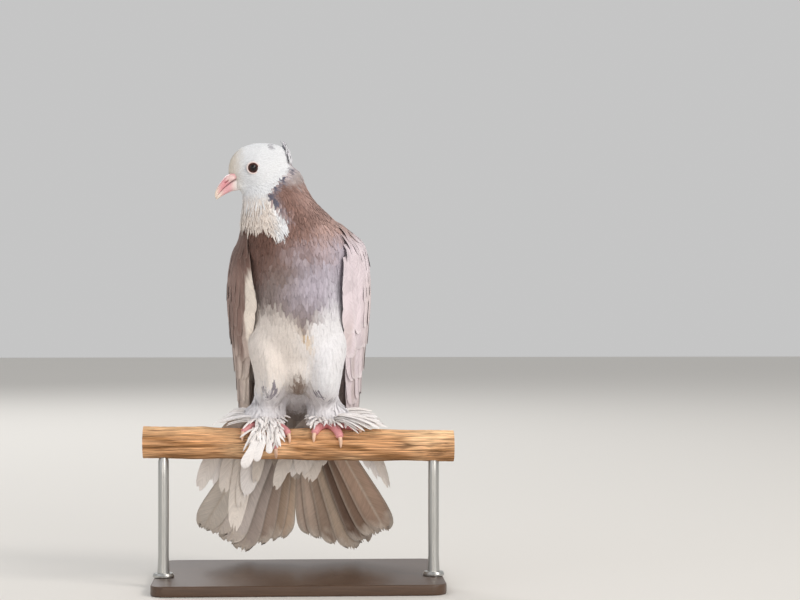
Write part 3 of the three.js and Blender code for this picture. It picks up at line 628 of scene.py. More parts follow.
def plumage(places):
    # the colour of the head, neck, body and legs at a place
    x, y, z = places.T
    broad, fine = ripple(places, 22, 3), ripple(places, 5, 4)
    tiny = ripple(places, 2.2, 5)
    front = ease((8 - y) / 22)

    # neck and breast: brown above, lavender-grey below, taupe towards the bird's right
    colour = blend(shades["neck"][None, :], shades["neckPink"], ease((x + 4 + 9 * broad) / 28))
    leftwards = ease((x + 20 + 8 * broad) / 34) * ease((z - 84) / 26)
    grey = blend(shades["taupe"][None, :], shades["lavender"], leftwards)
    grey = blend(grey, shades["paleBlue"], ease((x - 14) / 14) * ease((136 - z) / 26) * 0.85)
    colour = blend(colour, grey, ease((greyStart(x) - z + 7 * broad + 4 * fine) / 34 + 0.45))
    # painted shade: the neck and breast on the bird's right, under the bib and turned from the key lamp,
    # darkened
    underBibShade = ease((-6 - x + 5 * broad) / 24) * ease((174 - z) / 20) * ease((z - 112) / 36)
    colour = blend(colour, shades["underBibShadow"], underBibShade * 0.62)
    colour = colour * (1 + 0.07 * broad + 0.09 * fine + 0.1 * tiny)[:, None]

    # belly and thighs: cream on the bird's right, whiter on its left
    belly = blend(shades["cream"][None, :], shades["bellyWhite"], ease((x + 6 + 5 * broad) / 24))
    belly = blend(belly, shades["white"], ease((62 - z) / 30) * 0.5)
    gold = np.exp(-(((x - 3.4 - (84 - z) * 0.4) / 2.2) ** 2) - (((z - 81) / 8) ** 2))
    belly = blend(belly, shades["gold"], gold * 0.8 * front)
    below = creamStart(np.where(y > 0, 0.6 * x + 14, x)) - z + 2.5 * fine + 2 * broad
    colour = blend(colour, belly, ease(below / 18 + 0.45))

    # back and rump
    back = blend(shades["backGrey"][None, :], shades["rump"], ease((90 - z) / 40))
    back = back * (1 + 0.08 * broad + 0.05 * fine)[:, None]
    colour = blend(colour, back, ease((y - 4) / 14) * ease((158 - z) / 16))

    # legs
    leg = ease((46 - z + 2 * fine) / 10)
    colour = blend(colour, shades["legWhite"] * (1 + 0.05 * tiny)[:, None], leg * ease((30 - y) / 10))
    # painted shade in the cleft between the thighs, widening downwards at the front
    cleft = np.exp(-(((x + 0.5) / (2.5 + 0.32 * np.maximum(0, 60 - z))) ** 2)) * ease((58 - z) / 14)
    colour = blend(colour, shades["cleft"], cleft * front * ease((z - 24) / 7) * 0.95)

    # the white head and the bib below it, with a speckled grey edge and a pale lavender nape
    nape = ease((z - 188 + 3 * fine) / 14) * ease((x + 22) / 8)
    colour = blend(colour, shades["napeGrey"] * (1 + 0.14 * tiny)[:, None], nape)
    inside = np.minimum(cheekEdge(z) - x, (z - bibEnd(x)) * 0.8) + 1.2 * fine + 0.9 * tiny
    edge = np.exp(-(((inside + 2.2) / 4) ** 2)) * ease((z - 160) / 10) * ease((222 - z) / 8)
    dark = ease((z - 170) / 8) * ease((206 - z) / 12)
    colour = blend(colour, shades["wingPale"], edge * 0.35)
    colour = blend(colour, shades["speckle"], edge * ease(0.25 + 0.5 * dark + 1.5 * ripple(places, 2.4, 6)))
    creamy = ease((188 - z) / 14) * ease((-14 - x) / 10) * 0.9
    head = blend(shades["white"][None, :], shades["bibCream"], creamy)
    # painted shade: the face darker and creamier towards its front edge, which turns from the key lamp
    head = blend(head, shades["paintedFaceShade"], ease((-38 - x) / 13) * 0.9)
    colour = blend(colour, head, ease(inside / 2.4 + 0.5) * ease((z - 148) / 4))

    flecks = near(places, fleckSpots["crown"], 2.6) * 0.5
    for spots, reach in (("legRight", 2.8), ("legLeft", 2.4)):
        flecks = np.maximum(flecks, near(places, fleckSpots[spots], reach) * 0.8)
    return blend(colour, shades["fleck"], flecks)


# Skin: the flesh nodes with the boots and the tail's root, made one and drawn in by the coat's depth

skinSettings = {
    "voxel": 1.1,
    "overlap": 0.3,  # how much the flesh nodes grow so that they meet
    "inset": 1.3,  # the coat's depth
    "bodySmoothing": 60,
    "headSmoothing": 5,
    "slimNape": 3,
    "slimHips": (4.6, -3.6),  # inwards on the bird's right and on its left
    "nodes": ("neck", "torso", "thigh_left", "thigh_right"),
    # the breast is full up to the bird's right wing
    "breastSide": [
        (-31.5, -17, 148), (-31, -20, 134), (-29.5, -21.5, 121),
        (-28, -20.5, 110), (-29, -16.5, 100), (-32, -8, 85),
    ],
}
# the head's radius by direction round the skull: 0 degrees is the nape, 90 the crown
headOutline = through([
    (-180, 25.3), (-165, 21.5), (-150, 19.5), (-135, 21), (-115, 25), (-90, 26), (-45, 25),
    (0, 25), (26, 25.8), (40, 27), (55, 27.3), (66, 26.2), (83, 24.9),
    (112, 25), (128, 26), (141, 26.3), (155, 26.3), (166, 25.8), (180, 25.3),
])
# the sheet that the tail lies on: its root, the ways down and out of it, and how hollow it is
tailSheet = {
    "root": np.array([-2.0, 41.0, 31.0]),
    "down": unit(np.array([0, 0.42, -0.907])),
    "over": unit(np.array([0, 0.907, 0.42])),
    "dish": 0.0013,
}


def onTail(along, across, lift):
    # a place by millimetres down the tail, across it and towards the bird's back
    along, across, lift = np.broadcast_arrays(along, across, lift)
    place = tailSheet["root"] + along[..., None] * tailSheet["down"]
    place = place + (lift - tailSheet["dish"] * across**2)[..., None] * tailSheet["over"]
    return place + across[..., None] * np.array([1.0, 0, 0])


def tubePoints(path, radius, t, angle, roundness):
    # a round tube along a path, closed softly at both ends
    ahead = unit(path(np.minimum(1, t + 0.01)) - path(np.maximum(0, t - 0.01)))
    across = unit(np.array([1.0, 0, 0]) - ahead * ahead[:, :1])
    over = np.cross(ahead, across)
    size = (radius(t) * np.minimum(1, roundness * 1.8))[:, None]
    return path(t) + size * (across * np.sin(angle)[:, None] + over * np.cos(angle)[:, None])


def shankBall(name, leg):
    # the feathered boot from the ankle down to the branch
    path = pathThrough([(leg["ankle"], 4, 50), (leg["ankle"], 9, 33), (leg["hub"], 2, 16)])
    radius = through([(0, 13.5), (0.5, 13.5), (1, 14)])
    return loftedBall(name, 32, 20, lambda *spot: tubePoints(path, radius, *spot))


def eggBall(name, centre, radii, tilt=0.0):
    c, s = math.cos(tilt), math.sin(tilt)

    def place(t, angle, roundness):
        x = radii[0] * roundness * np.sin(angle)
        y = radii[1] * roundness * np.cos(angle)
        z = radii[2] * (1 - 2 * t)
        return np.stack([x, y * c - z * s, y * s + z * c], -1) + np.asarray(centre)

    return loftedBall(name, 32, 20, place)


def headPlace(t, angle, roundness):
    radius = headOutline(np.degrees(angle)) * roundness
    x, z = radius * np.cos(angle), radius * np.sin(angle)
    y = 15.4 * (1 - 2 * t) * (1 - 0.42 * ease(-x / 26) - 0.12 * ease(z / 26))
    return turnHead(skull["centre"] + np.stack([x, y, z], -1))


def makeSkin():
    parts = [loftedBall("head_flesh", 72, 40, headPlace)]
    for node in skinSettings["nodes"]:
        copy = bpy.data.objects.new(node + "_flesh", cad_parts[node].data.copy())
        bpy.context.collection.objects.link(copy)
        useOnly(copy)
        bpy.ops.object.mode_set(mode="EDIT")
        bpy.ops.mesh.select_all(action="SELECT")
        bpy.ops.mesh.remove_doubles(threshold=1e-6)
        bpy.ops.object.mode_set(mode="OBJECT")
        applyModifier(copy, "DISPLACE", strength=skinSettings["overlap"] * millimetre, mid_level=0)
        parts.append(copy)
    for name, leg in legPlan.items():
        parts.append(shankBall(f"boot_{name}", leg))
        parts.append(eggBall(f"cuff_{name}", (leg["hub"] + leg["side"], 4, 22), (17.5, 12.5, 9)))
        parts.append(eggBall(f"knee_{name}", (leg["ankle"], -3, 44), (15, 18.5, 17), math.radians(-14)))
    for name, side in cheeks.items():
        gape = turnHead(billFrom + np.array([-9.4, side * 2.4, -12.6]))
        parts.append(eggBall(f"gape_{name}", gape, (5, 4.0, 4.8)))
    parts.append(eggBall("belly", (-1, -5, 61), (20, 26, 25)))
    side = pathThrough(skinSettings["breastSide"])
    girth = through([(0, 4), (0.3, 7), (0.7, 7), (1, 4)])
    parts.append(loftedBall("breast_side", 24, 20, lambda *spot: tubePoints(side, girth, *spot)))
    tilt = math.atan2(tailSheet["down"][1], -tailSheet["down"][2])
    parts.append(eggBall("tail_root", onTail(2, 0, 0), (21, 9.5, 17), tilt))
    skin = joinPieces(parts, "skin")
    applyModifier(skin, "REMESH", mode="VOXEL", voxel_size=skinSettings["voxel"] * millimetre)
    across, _, height = inMillimetres(pointsOf(skin)).T
    nape = 20 * ease((across + 24) / 10)
    for name, chosen, passes in (
        ("body", ease((190 + nape - height) / 14), skinSettings["bodySmoothing"]),
        ("headOnly", ease((height - 180 - nape) / 10), skinSettings["headSmoothing"]),
    ):
        group = skin.vertex_groups.new(name=name)
        for i, weight in enumerate(chosen):
            if weight > 0:
                group.add([i], float(weight), "REPLACE")
        applyModifier(skin, "SMOOTH", factor=0.5, iterations=passes, vertex_group=name)
    skin.vertex_groups.clear()
    points = inMillimetres(pointsOf(skin))
    slimmer = np.exp(-(((points[:, 2] - 182) / 15) ** 2)) * ease((points[:, 0] + 18) / 14)
    points[:, 0] -= skinSettings["slimNape"] * slimmer
    hips = np.exp(-(((points[:, 2] - 54) / 17) ** 2)) * ease((np.abs(points[:, 0]) - 20) / 12)
    points[:, 0] += hips * np.where(points[:, 0] < 0, *skinSettings["slimHips"])
    movePoints(skin, inMetres(points))
    applyModifier(skin, "DISPLACE", strength=-skinSettings["inset"] * millimetre, mid_level=0)
    useOnly(skin)
    bpy.ops.object.shade_smooth()
    return skin


def bakeChart(places):
    # an unwrap of the skin: each leg, and the trunk with the head, laid out round its own axis
    x, y, z = places.T
    chart = np.empty((len(places), 2))
    trunkX = np.interp(z, [40, 140, 188, 215], [0, 0, -16, -28])
    trunkY = np.interp(z, [16, 40, 72, 125, 210], [40, 23, 6.5, -2.5, -6])
    chart[:, 0] = 0.02 + 0.94 * (np.arctan2(x - trunkX, trunkY - y) / (2 * math.pi) + 0.5)
    chart[:, 1] = 0.32 + 0.66 * np.clip((z - 10) / 222, 0, 1)
    for name, leg in legPlan.items():
        onLeg = (z < 46) & (np.hypot(x - leg["hub"], y - 5) < 21)
        turn = np.arctan2(x - leg["hub"], 5 - y) / (2 * math.pi) + 0.5
        chart[onLeg, 0] = (0.5 if name == "left" else 0.0) + 0.02 + 0.44 * turn[onLeg]
        chart[onLeg, 1] = 0.02 + 0.26 * np.clip((z[onLeg] + 2) / 50, 0, 1)
    return chart


skin = makeSkin()
skinPoints = inMillimetres(pointsOf(skin))
skinFaces = np.array([tuple(face.vertices) for face in skin.data.polygons if len(face.vertices) == 4])
skinTree = BVHTree.FromPolygons(skinPoints.tolist(), skinFaces.tolist())
paint(skin, plumage(skinPoints))
layer = skin.data.uv_layers.new(name="OFBake")
loopPoints = np.empty(len(skin.data.loops), int)
skin.data.loops.foreach_get("vertex_index", loopPoints)
layer.data.foreach_set("uv", bakeChart(skinPoints)[loopPoints].astype(np.float32).ravel())
finishPiece(skin, featheredSkin, ("head", "neck", "torso", "thigh_left", "thigh_right"))
print("skin", len(skinPoints), "points")


# Contour feathers, rooted over the skin and following its lie

bodyRows = (0, 0.3, 0.6, 0.85, 1)
headRows = (0, 0.4, 0.75, 1)
# Millimetres between roots, feather's length and width, how far its tip rises off the skin, how
# loosely it lies and how much its shade varies. Some kinds add how far a feather's colour strays
# from its place, how much paler the tip is, and how far the bib's locks sweep aside.
kindKeys = ("spacing", "length", "width", "rise", "loose", "mottle")
coatKinds = {
    "head": dict(zip(kindKeys, (1.0, 3.4, 1.6, 0.35, 0.08, 0.015))) | {"stray": 0.5},
    "neck": dict(zip(kindKeys, (1.4, 7.5, 1.7, 0.45, 0.15, 0.1))) | {"tipLight": 0.3},
    "body": dict(zip(kindKeys, (1.9, 10, 3.1, 0.5, 0.1, 0.05))),
    "belly": dict(zip(kindKeys, (1.8, 11, 3.0, 0.4, 0.1, 0.015))),
    "leg": dict(zip(kindKeys, (1.6, 9.5, 2.3, 0.85, 0.28, 0.03))),
    "bib": dict(zip(kindKeys, (1.5, 11, 1.3, 0.9, 0.22, 0.04))) | {"lock": 0.55},
}
tipShape = through([(0, 0.45), (0.3, 0.9), (0.55, 1), (0.8, 0.8), (1, 0.22)])


def lieOf(places, ups, lock=0.0):
    # which way the feathers lie: back from the bill over the head, then down the body and legs;
    # the bib's lock sweeps aside
    x, y, z = places.T
    onHead = ease((z - 176) / 18)[:, None]
    back = 0.5 * ease((118 - z) / 50) * ease((z - 34) / 24)
    aside = lock * ease((x + 34) / 12)
    down = np.stack([aside, back, -np.ones_like(x)], -1)
    fromBill = unit(places - billRoot) + np.array([0, 0, -0.35])
    ahead = mix(down, fromBill, onHead * (lock == 0))
    return unit(ahead - ups * (ahead * ups).sum(-1, keepdims=True))


def kindOf(places):
    x, y, z = places.T
    kind = np.full(len(places), "body", dtype=object)
    kind[z > 152] = "neck"
    kind[(z < creamStart(x) + 2) & (y < 12)] = "belly"
    for leg in legPlan.values():
        kind[(z < 40) & (np.hypot(x - leg["hub"], y - 5) < 21)] = "leg"
    kind[(np.linalg.norm(places - skull["centre"], axis=1) < 28) & (z > 184)] = "head"
    return kind


def onBib(places):
    x, y, z = places.T
    return (z < 184) & (y < 2) & (cheekEdge(z) - x > 4) & (z - bibEnd(x + 4) > 7)


def downWing(z):
    # about how far down the wing's sheet a height lies
    return (165 - z) * 1.068 - 14


def wingMiddleY(s):
    # where the middle of the wings' sheet runs
    return np.interp(s, [-14, 214], [-11, 89])


def bare(places):
    # no feathers under the wings, in the eyes, under the bill's root or on the branch
    x, y, z = places.T
    s = downWing(z)
    behind = (y - wingMiddleY(s)) / 0.937
    turn = np.degrees(np.arctan2(behind / 38, np.abs(x) / 50))
    hidden = (turn > -22) & (turn < 70) & (s > 6) & (s < 118) & (np.abs(x) > 14)
    for side in cheeks.values():
        hidden |= np.linalg.norm(places - turnHead(eyeCentre(side)), axis=1) < 5.6
    hidden |= np.linalg.norm(places - billRoot, axis=1) < 2.6
    return hidden | (np.hypot(y, z) < 12.5)


def scatter(spacing, allowed, seed):
    # roots over the skin, no two nearer than the spacing
    draw = np.random.default_rng(seed)
    halves = np.concatenate([skinFaces[:, [0, 1, 2]], skinFaces[:, [0, 2, 3]]])
    corners = skinPoints[halves]
    normals = np.cross(corners[:, 1] - corners[:, 0], corners[:, 2] - corners[:, 0])
    area = np.linalg.norm(normals, axis=1)
    chosen = allowed(corners.mean(1)) & (area > 0)
    halves, corners, normals, area = halves[chosen], corners[chosen], normals[chosen], area[chosen]
    count = int(area.sum() / 2 / spacing**2 * 4)
    pick = draw.choice(len(halves), count, p=area / area.sum())
    a, b = draw.random((2, count, 1))
    flip = a + b > 1
    a, b = np.where(flip, 1 - a, a), np.where(flip, 1 - b, b)
    c = corners[pick]
    places = c[:, 0] + a * (c[:, 1] - c[:, 0]) + b * (c[:, 2] - c[:, 0])
    tree = KDTree(count)
    for i, place in enumerate(places):
        tree.insert(place, i)
    tree.balance()
    alive = np.ones(count, bool)
    for i in range(count):
        if alive[i]:
            for _, j, _ in tree.find_range(places[i], spacing):
                if j > i:
                    alive[j] = False
    return places[alive], unit(normals[pick][alive])


def walkSkin(roots, ups, lengths, rows, lock):
    # the feather's middle line: steps over the skin along the lie, with the way up at each
    places, upward = [roots], [ups]
    for share in np.diff(rows):
        aims = places[-1] + lieOf(places[-1], upward[-1], lock) * (lengths * share)[:, None]
        found = [skinTree.find_nearest(aim) for aim in aims]
        places.append(np.array([hit[0] for hit in found]))
        upward.append(unit(np.array([hit[1] for hit in found]) + 0.5 * upward[-1]))
    return np.stack(places, 1), np.stack(upward, 1)


def skinFeathers(coat, roots, ups, kind, seed):
    draw = np.random.default_rng(seed)
    count = len(roots)
    blade = bladeGrid(headRows if kind["length"] < 5 else bodyRows, (-1, 0, 1))
    rows = blade["rows"]
    lengths = kind["length"] * draw.uniform(0.8, 1.2, count)
    widths = kind["width"] * draw.uniform(0.85, 1.15, count)
    middle, upward = walkSkin(roots, ups, lengths, rows, kind.get("lock", 0.0))
    ahead = unit(np.gradient(middle, axis=1))
    side = unit(np.cross(ahead, upward))
    sway = draw.normal(0, 0.5 * kind["loose"], (count, 1)) * rows**2 * lengths[:, None]
    middle = middle + side * sway[..., None]
    stand = draw.uniform(0.5, 1.3, (count, 1)) + kind["loose"] * draw.normal(0, 1.4, (count, 1)) * rows
    height = -0.5 + (0.5 + kind["rise"] * np.maximum(stand, 0.25)) * ease(rows / 0.55)
    row, t, u = blade["row"], blade["t"], blade["u"]
    half = widths[:, None] / 2 * tipShape(t)
    ragged = draw.normal(0, 0.05, (count, 3))[:, blade["column"]] * (t == 1)
    thick = 0.09 * blade["face"]
    lift = height[:, row] + thick - 0.16 * half * np.abs(u)
    points = middle[:, row] + side[:, row] * (half * u)[..., None] + upward[:, row] * lift[..., None]
    points = points + ahead[:, row] * (ragged * lengths[:, None])[..., None]
    seen = middle[:, 2] if "lock" not in kind else roots
    base = plumage(seen + draw.normal(0, kind.get("stray", 1.2), (count, 3)) * (1, 1, 1.5))
    base = base * draw.normal(1, kind["mottle"], (count, 1))
    tint = np.ones((count, len(t), 4))
    paler = 1 + kind.get("tipLight", 0.05) * (t - 0.6) + 0.05 * (u == 0) - 0.03 * np.abs(u)
    tint[..., :3] = base[:, None, :] * paler[:, None]
    tint[..., 3] = draw.random((count, 1))
    vane = np.stack([half * u, lengths[:, None] * t], -1)
    bake = bakeChart(roots)[:, None, :] + 0.003 * np.stack([u * 0.5, t - 0.5], -1)
    facing = upward[:, row] + 0.25 * u[:, None] * side[:, row]
    addBlades(coat, points, tint, vane, bake, blade, facing, 0.8)


def makeBodyCoat():
    for seed, kindName in enumerate(("head", "neck", "body", "belly", "leg")):
        kind = coatKinds[kindName]
        coat = newCoat()
        roots, ups = scatter(kind["spacing"], lambda p: (kindOf(p) == kindName) & ~bare(p), 100 + seed)
        skinFeathers(coat, roots, ups, kind, 200 + seed)
        if kindName == "neck":
            # the bib's long white locks lie over the brown
            kind = coatKinds["bib"]
            roots, ups = scatter(kind["spacing"], lambda p: onBib(p) & ~bare(p), 110)
            skinFeathers(coat, roots, ups, kind, 210)
        coatPiece(kindName + "_coat", coat, contourVanes)


makeBodyCoat()


# Large feathers, each drawn over a sheet or along a path of its own

layerHeight = 1.0
# rows run down a feather from 0 to 1, and columns across it from -1 to 1
fineColumns = (-1, -0.75, -0.45, -0.14, 0, 0.14, 0.45, 0.75, 1)
coarseColumns = (-1, -0.6, 0, 0.6, 1)
longRows = tuple(np.concatenate([np.linspace(0, 0.86, 10), (0.92, 0.97, 1)]))
tailColumns = tuple(np.sort(np.concatenate([np.linspace(-1, 1, 22), (0,)])))
tailRows = tuple(np.concatenate([np.linspace(0, 0.8, 10), (0.86, 0.9, 0.935, 0.965, 0.985, 1)]))
shortRows = (0, 0.2, 0.4, 0.6, 0.78, 0.91, 1)
# a feather's width down its length, as a share of its greatest
bluntTip = through([(0, 0.35), (0.3, 0.85), (0.62, 1), (0.86, 0.94), (0.96, 0.7), (1, 0.36)])
roundTip = through([(0, 0.5), (0.3, 0.9), (0.6, 1), (0.82, 0.9), (0.95, 0.56), (1, 0.2)])
narrowTip = through([(0, 0.4), (0.3, 0.95), (0.6, 1), (0.85, 0.72), (0.96, 0.4), (1, 0.14)])
squareTip = through(
    [(0, 0.3), (0.3, 0.72), (0.7, 0.96), (0.9, 1), (0.96, 0.84), (0.985, 0.62), (1, 0.34)]
)
leafTip = through([(0, 0.3), (0.3, 0.7), (0.65, 0.98), (0.85, 1), (0.94, 0.8), (0.98, 0.56), (1, 0.3)])


def bigFeathers(
    coat,
    cells,
    blade,
    place,
    widths,
    lengths,
    shape,
    tintOf,
    seed,
    fray=0.05,
    camber=0.5,
    under=1.0,
    upward=None,
):
    # place(t, across, lift) and tintOf(t, u) both take and give an array for feathers x points, and
    # upward(t, across) says which way the plumage round them faces. The chart has cells x cells
    # places. fray is how uneven the tips are and under how bright the underside is.
    draw = np.random.default_rng(seed)
    count = len(widths)
    t = np.broadcast_to(blade["t"], (count, len(blade["t"])))
    u = np.broadcast_to(blade["u"], t.shape)
    face = blade["face"]
    ends = draw.uniform(0, fray, (count, int(blade["column"].max()) + 1))
    ends = (0.6 * ends + 0.25 * np.roll(ends, 1, 1) + 0.15 * np.roll(ends, 2, 1))[:, blade["column"]]
    reach = t * (1 - ends * ease((t - 0.72) / 0.28))
    wave = 1 + 0.05 * np.sin(9 * t + draw.uniform(0, 6, (count, 1))) * ease(t / 0.3)
    half = np.asarray(widths)[:, None] / 2 * shape(t) * wave
    shaft = 0.32 * np.exp(-((u / 0.09) ** 2)) * (1 - 0.75 * t) * face
    bow = camber * (0.35 - u**2) * ease(t / 0.25) * (1 - 0.4 * t)
    twist = draw.normal(0, 0.35, (count, 1)) * u * t
    points = place(reach, half * u, 0.11 * face + shaft + bow + twist)
    tint = np.ones((*t.shape, 4))
    brightness = draw.normal(1, 0.04, (count, 1, 1)) * np.where(face < 0, under, 1)[:, None]
    tint[..., :3] = tintOf(t, u) * brightness
    tint[..., 3] = draw.random((count, 1))
    vane = np.stack([half * u, np.asarray(lengths)[:, None] * t], -1)
    index = coat["used"] + np.arange(count)[:, None]
    coat["used"] += count
    column, row = index % cells, index // cells
    bake = np.stack([(column + 0.5 + 0.44 * u) / cells, (row + 0.03 + 0.94 * t) / cells], -1)
    addBlades(coat, points, tint, vane, bake, blade, upward and upward(reach, half * u), 0.55)


# Wings: a sheet wraps the body. s runs down the wing, turn goes from the side (0 degrees) to the
# back (90 degrees), and lift is the height over the sheet.

wingSheet = {
    "middle": pathThrough([
        (0, -11, 165), (0, 0.5, 134), (0, 12, 103.5), (0, 25, 73),
        (0, 39, 43), (0, 54, 13), (0, 71, -16), (0, 89, -45),
    ]),
    "from": -14,
    "to": 214,
    "back": np.array([0, 0.937, 0.349]),
    "sideRadius": through([
        (-14, 32), (0, 45), (20, 51.5), (45, 53), (70, 52), (100, 50), (138, 49), (170, 46), (214, 36),
    ]),
    "backRadius": through([(-14, 32), (20, 42), (60, 41), (100, 36), (140, 30), (214, 24)]),
    "leftRise": 4,  # how much higher the bird's left shoulder is
    "settled": 9,  # the wing lies on the body down to here
}


def onWing(side, s, turn, lift):
    # side is 1 for the bird's left wing and -1 for its right one
    s, turn, lift = np.broadcast_arrays(s, turn, lift)
    a = np.radians(turn)
    place = wingSheet["middle"]((s - wingSheet["from"]) / (wingSheet["to"] - wingSheet["from"]))
    place[..., 0] += side * (wingSheet["sideRadius"](s) + lift) * np.cos(a)
    place[..., 2] += (wingSheet["leftRise"] if side > 0 else 0) * (1 - ease(s / 120))
    place = place + ((wingSheet["backRadius"](s) + lift) * np.sin(a))[..., None] * wingSheet["back"]
    # at the shoulder the wing lies close on the body's own feathers
    share = ease((wingSheet["settled"] - s) / 18)
    low = share > 0
    hits = [skinTree.find_nearest(spot) for spot in place[low]]
    if hits:
        ground, up = (np.array([hit[i] for hit in hits]) for i in (0, 1))
        place[low] = mix(place[low], ground + up * (1.3 + lift[low])[:, None], share[low][:, None])
    return place


def outOfWing(side, s, turn):
    # the way that the wing's surface faces
    a = np.radians(turn)
    outwards = (wingSheet["backRadius"](s) * np.cos(a))[..., None] * np.array([side, 0, 0])
    return unit(outwards + (wingSheet["sideRadius"](s) * np.sin(a))[..., None] * wingSheet["back"])


def turnPerMillimetre(s, turn):
    a = np.radians(turn)
    sideways, backwards = wingSheet["sideRadius"](s) * np.sin(a), wingSheet["backRadius"](s) * np.cos(a)
    return np.degrees(1 / np.hypot(sideways, backwards))


# the cores under the feathers: where each starts and ends, its front and rear edges in degrees,
# and its outer and inner faces as heights over the sheet
armOuter = through(
    [(-10, 0), (34, 0.2), (42, -0.5), (58, -0.9), (68, -3), (88, -3.2), (98, -6), (122, -6.2)]
)
wingCores = {
    "arm": {
        "from": 3,
        "to": 122,
        "front": through([(-10, -20), (20, -44), (60, -44), (100, -33), (122, -22)]),
        "rear": through([(-10, 62), (20, 82), (60, 82), (122, 67)]),
        "outer": lambda s: armOuter(s) - 0.9 - 2.5 * ease((24 - s) / 18),
        "inner": through([(-10, -9), (105, -9), (110, -7.6), (122, -7.2)]),
    },
    "hand": {
        "from": 96,
        "to": 138,
        "front": through([(96, -22), (138, -12)]),
        "rear": through([(96, 22), (138, 20)]),
        "outer": lambda s: 0 * s - 9,
        "inner": through([(96, -14), (138, -13.2)]),
    },
}
# Rows of coverts and flight feathers from the shoulder down: how many, s of the roots, s of the
# tips at the front and the back, degrees of the first and last roots and tips, width, and height
# of the tips over the sheet
rowKeys = ("count", "root", "tips", "spread", "tipSpread", "width", "lift")
wingRows = [
    dict(zip(rowKeys, row))
    for row in (
        (12, -14, (0, 0), (-10, 52), (-24, 62), 8.5, 0.8),
        (13, -9, (9, 9), (-22, 60), (-34, 68), 8.5, 0.6),
        (16, -1, (17, 17), (-34, 68), (-44, 74), 8.5, 0.6),
        (18, 7, (26, 26), (-44, 74), (-51, 78), 8.5, 0.6),
        (19, 15, (36, 36), (-50, 77), (-54, 79), 9, 0.6),
        (18, 24, (47, 48), (-52, 78), (-54, 80), 9.5, 0.7),
        (16, 34, (62, 68), (-51, 77), (-53, 79), 11, 0.8),
        (15, 47, (84, 86), (-49, 76), (-50, 79), 11.5, 0.2),
        (14, 62, (106, 102), (-46, 75), (-45, 78), 12, -0.7),
        (13, 78, (129, 117), (-42, 72), (-37, 75), 12, -1.9),
        (13, 90, (150, 136), (-36, 68), (-28, 72), 12.5, -3.3),
    )
]
primaryPlan = dict(zip(rowKeys, (8, 112, (206, 158), (-17, 16), (0, 24), 12)))


def fuller(n):
    # rounds a section out towards a box
    return np.sign(n) * np.abs(n) ** 0.8


def hugging(s, turn):
    # the frontmost feathers pass over the breast's edge
    return 0.3 * np.maximum(0, -39 - turn) * ease((s - 2) / 16)


# how far from the middle each wing's front edge lies, down the wing
wingFront = {
    1: through([(-4, 34.6), (7, 31.2), (31, 29.8), (63, 33.4), (82, 37), (110, 40.6), (138, 43)]),
    -1: through([(-4, 40), (13, 35), (30, 29.8), (47, 31.6), (63, 34.5), (82, 39), (111, 43), (143, 44)]),
}


def forward(side, s, turn, front):
    # draws a row's foremost feathers back to the wing's front edge
    across = np.clip(wingFront[side](s) / (wingSheet["sideRadius"](s) + 3), 0, 1)
    edge = 6.5 - np.degrees(np.arccos(across))
    share = np.clip((edge + 20) / np.minimum(front + 20, -1e-3), 0, 1)
    return np.where(turn < -20, -20 + (turn + 20) * share, turn)


def wingTint(side, s, turn, t, u):
    # the bird's right wing is brown with a cream front edge, its left one pale pinkish lavender
    places = np.stack([s, turn, 0 * s], -1)
    broad, fine = ripple(places, 26, 11 + side), ripple(places, 6, 13 + side)
    edge = ease((np.abs(u) - 0.55) / 0.45) + ease((t - 0.86) / 0.12)
    sheet = onWing(side, s, turn, 0)
    out = np.abs(sheet[..., 0])
    body = plumage(sheet.reshape(-1, 3)).reshape(sheet.shape)
    onFront = ease((-8 - turn) / 10)
    streak = ripple(np.stack([s / 7, turn, 0 * s], -1), 4.5, 15 + side)
    if side < 0:
        colour = blend(shades["wingBrown"][None, None, :], shades["wingTaupe"], ease((s - 60) / 50))
        colour = colour * (1 + 0.08 * broad + 0.07 * fine + 0.09 * streak)[..., None]
        pale = ease((s - 38 + 8 * broad) / 44) * ease(0.4 + 0.9 * streak)
        pale = pale * (0.35 + 0.65 * ease((50 - out) / 7))
        colour = blend(colour, shades["wingStreak"], pale * 0.75)
        edgeX = 38.4 - 2.6 * ease((22 - s) / 12)
        frontmost = ease((edgeX - out + 0.5 * fine) / 1.4) * ease((s - 9) / 8) * ease((92 - s) / 14) * onFront
        lower = ease((47 - out + fine) / 4) * ease((s - 84) / 20) * (0.35 + 0.2 * fine) * onFront
        colour = blend(colour, body, ease((24 - s + 3 * fine) / 18) * 0.85)
        colour = blend(colour, shades["strip"], np.maximum(frontmost, lower))
        return blend(colour, shades["wingTaupe"] * 1.3, edge * 0.25)
    tan = ease((turn - 26 + 8 * broad) / 30) * 0.7
    colour = blend(shades["wingPale"][None, None, :], shades["wingTan"], tan)
    colour = colour * (1 + 0.05 * broad + 0.05 * fine + 0.05 * streak)[..., None]
    # painted shade on the wing's outer side, where it curves away, drawn towards tan
    colour = blend(colour, shades["wingTan"], ease((out - 45) / 7) * ease((s - 20) / 20) * 0.35)
    colour = blend(colour, shades["wingTaupe"] * 0.8, ease(1.3 * streak - 0.1) * ease((s - 62) / 30) * 0.55)
    band = np.exp(-(((s - 64) / 14) ** 2)) * ease((38.5 - out) / 2) * onFront
    colour = blend(colour, shades["wingTan"], band * 0.35)
    speckled = np.exp(-(((s - 6) / 12) ** 2)) * ease((43 - out) / 5) * ease((np.abs(u) - 0.3) / 0.5) * onFront
    colour = blend(colour, shades["fleck"], speckled * (0.3 + 0.3 * fine))
    colour = blend(colour, shades["wingTaupe"], ease((s - 108) / 40) * ease((turn + 24) / 20) * 0.6)
    colour = blend(colour, body, ease((3 - s + 3 * fine) / 10))
    return blend(colour, shades["wingEdge"], edge * 0.3)


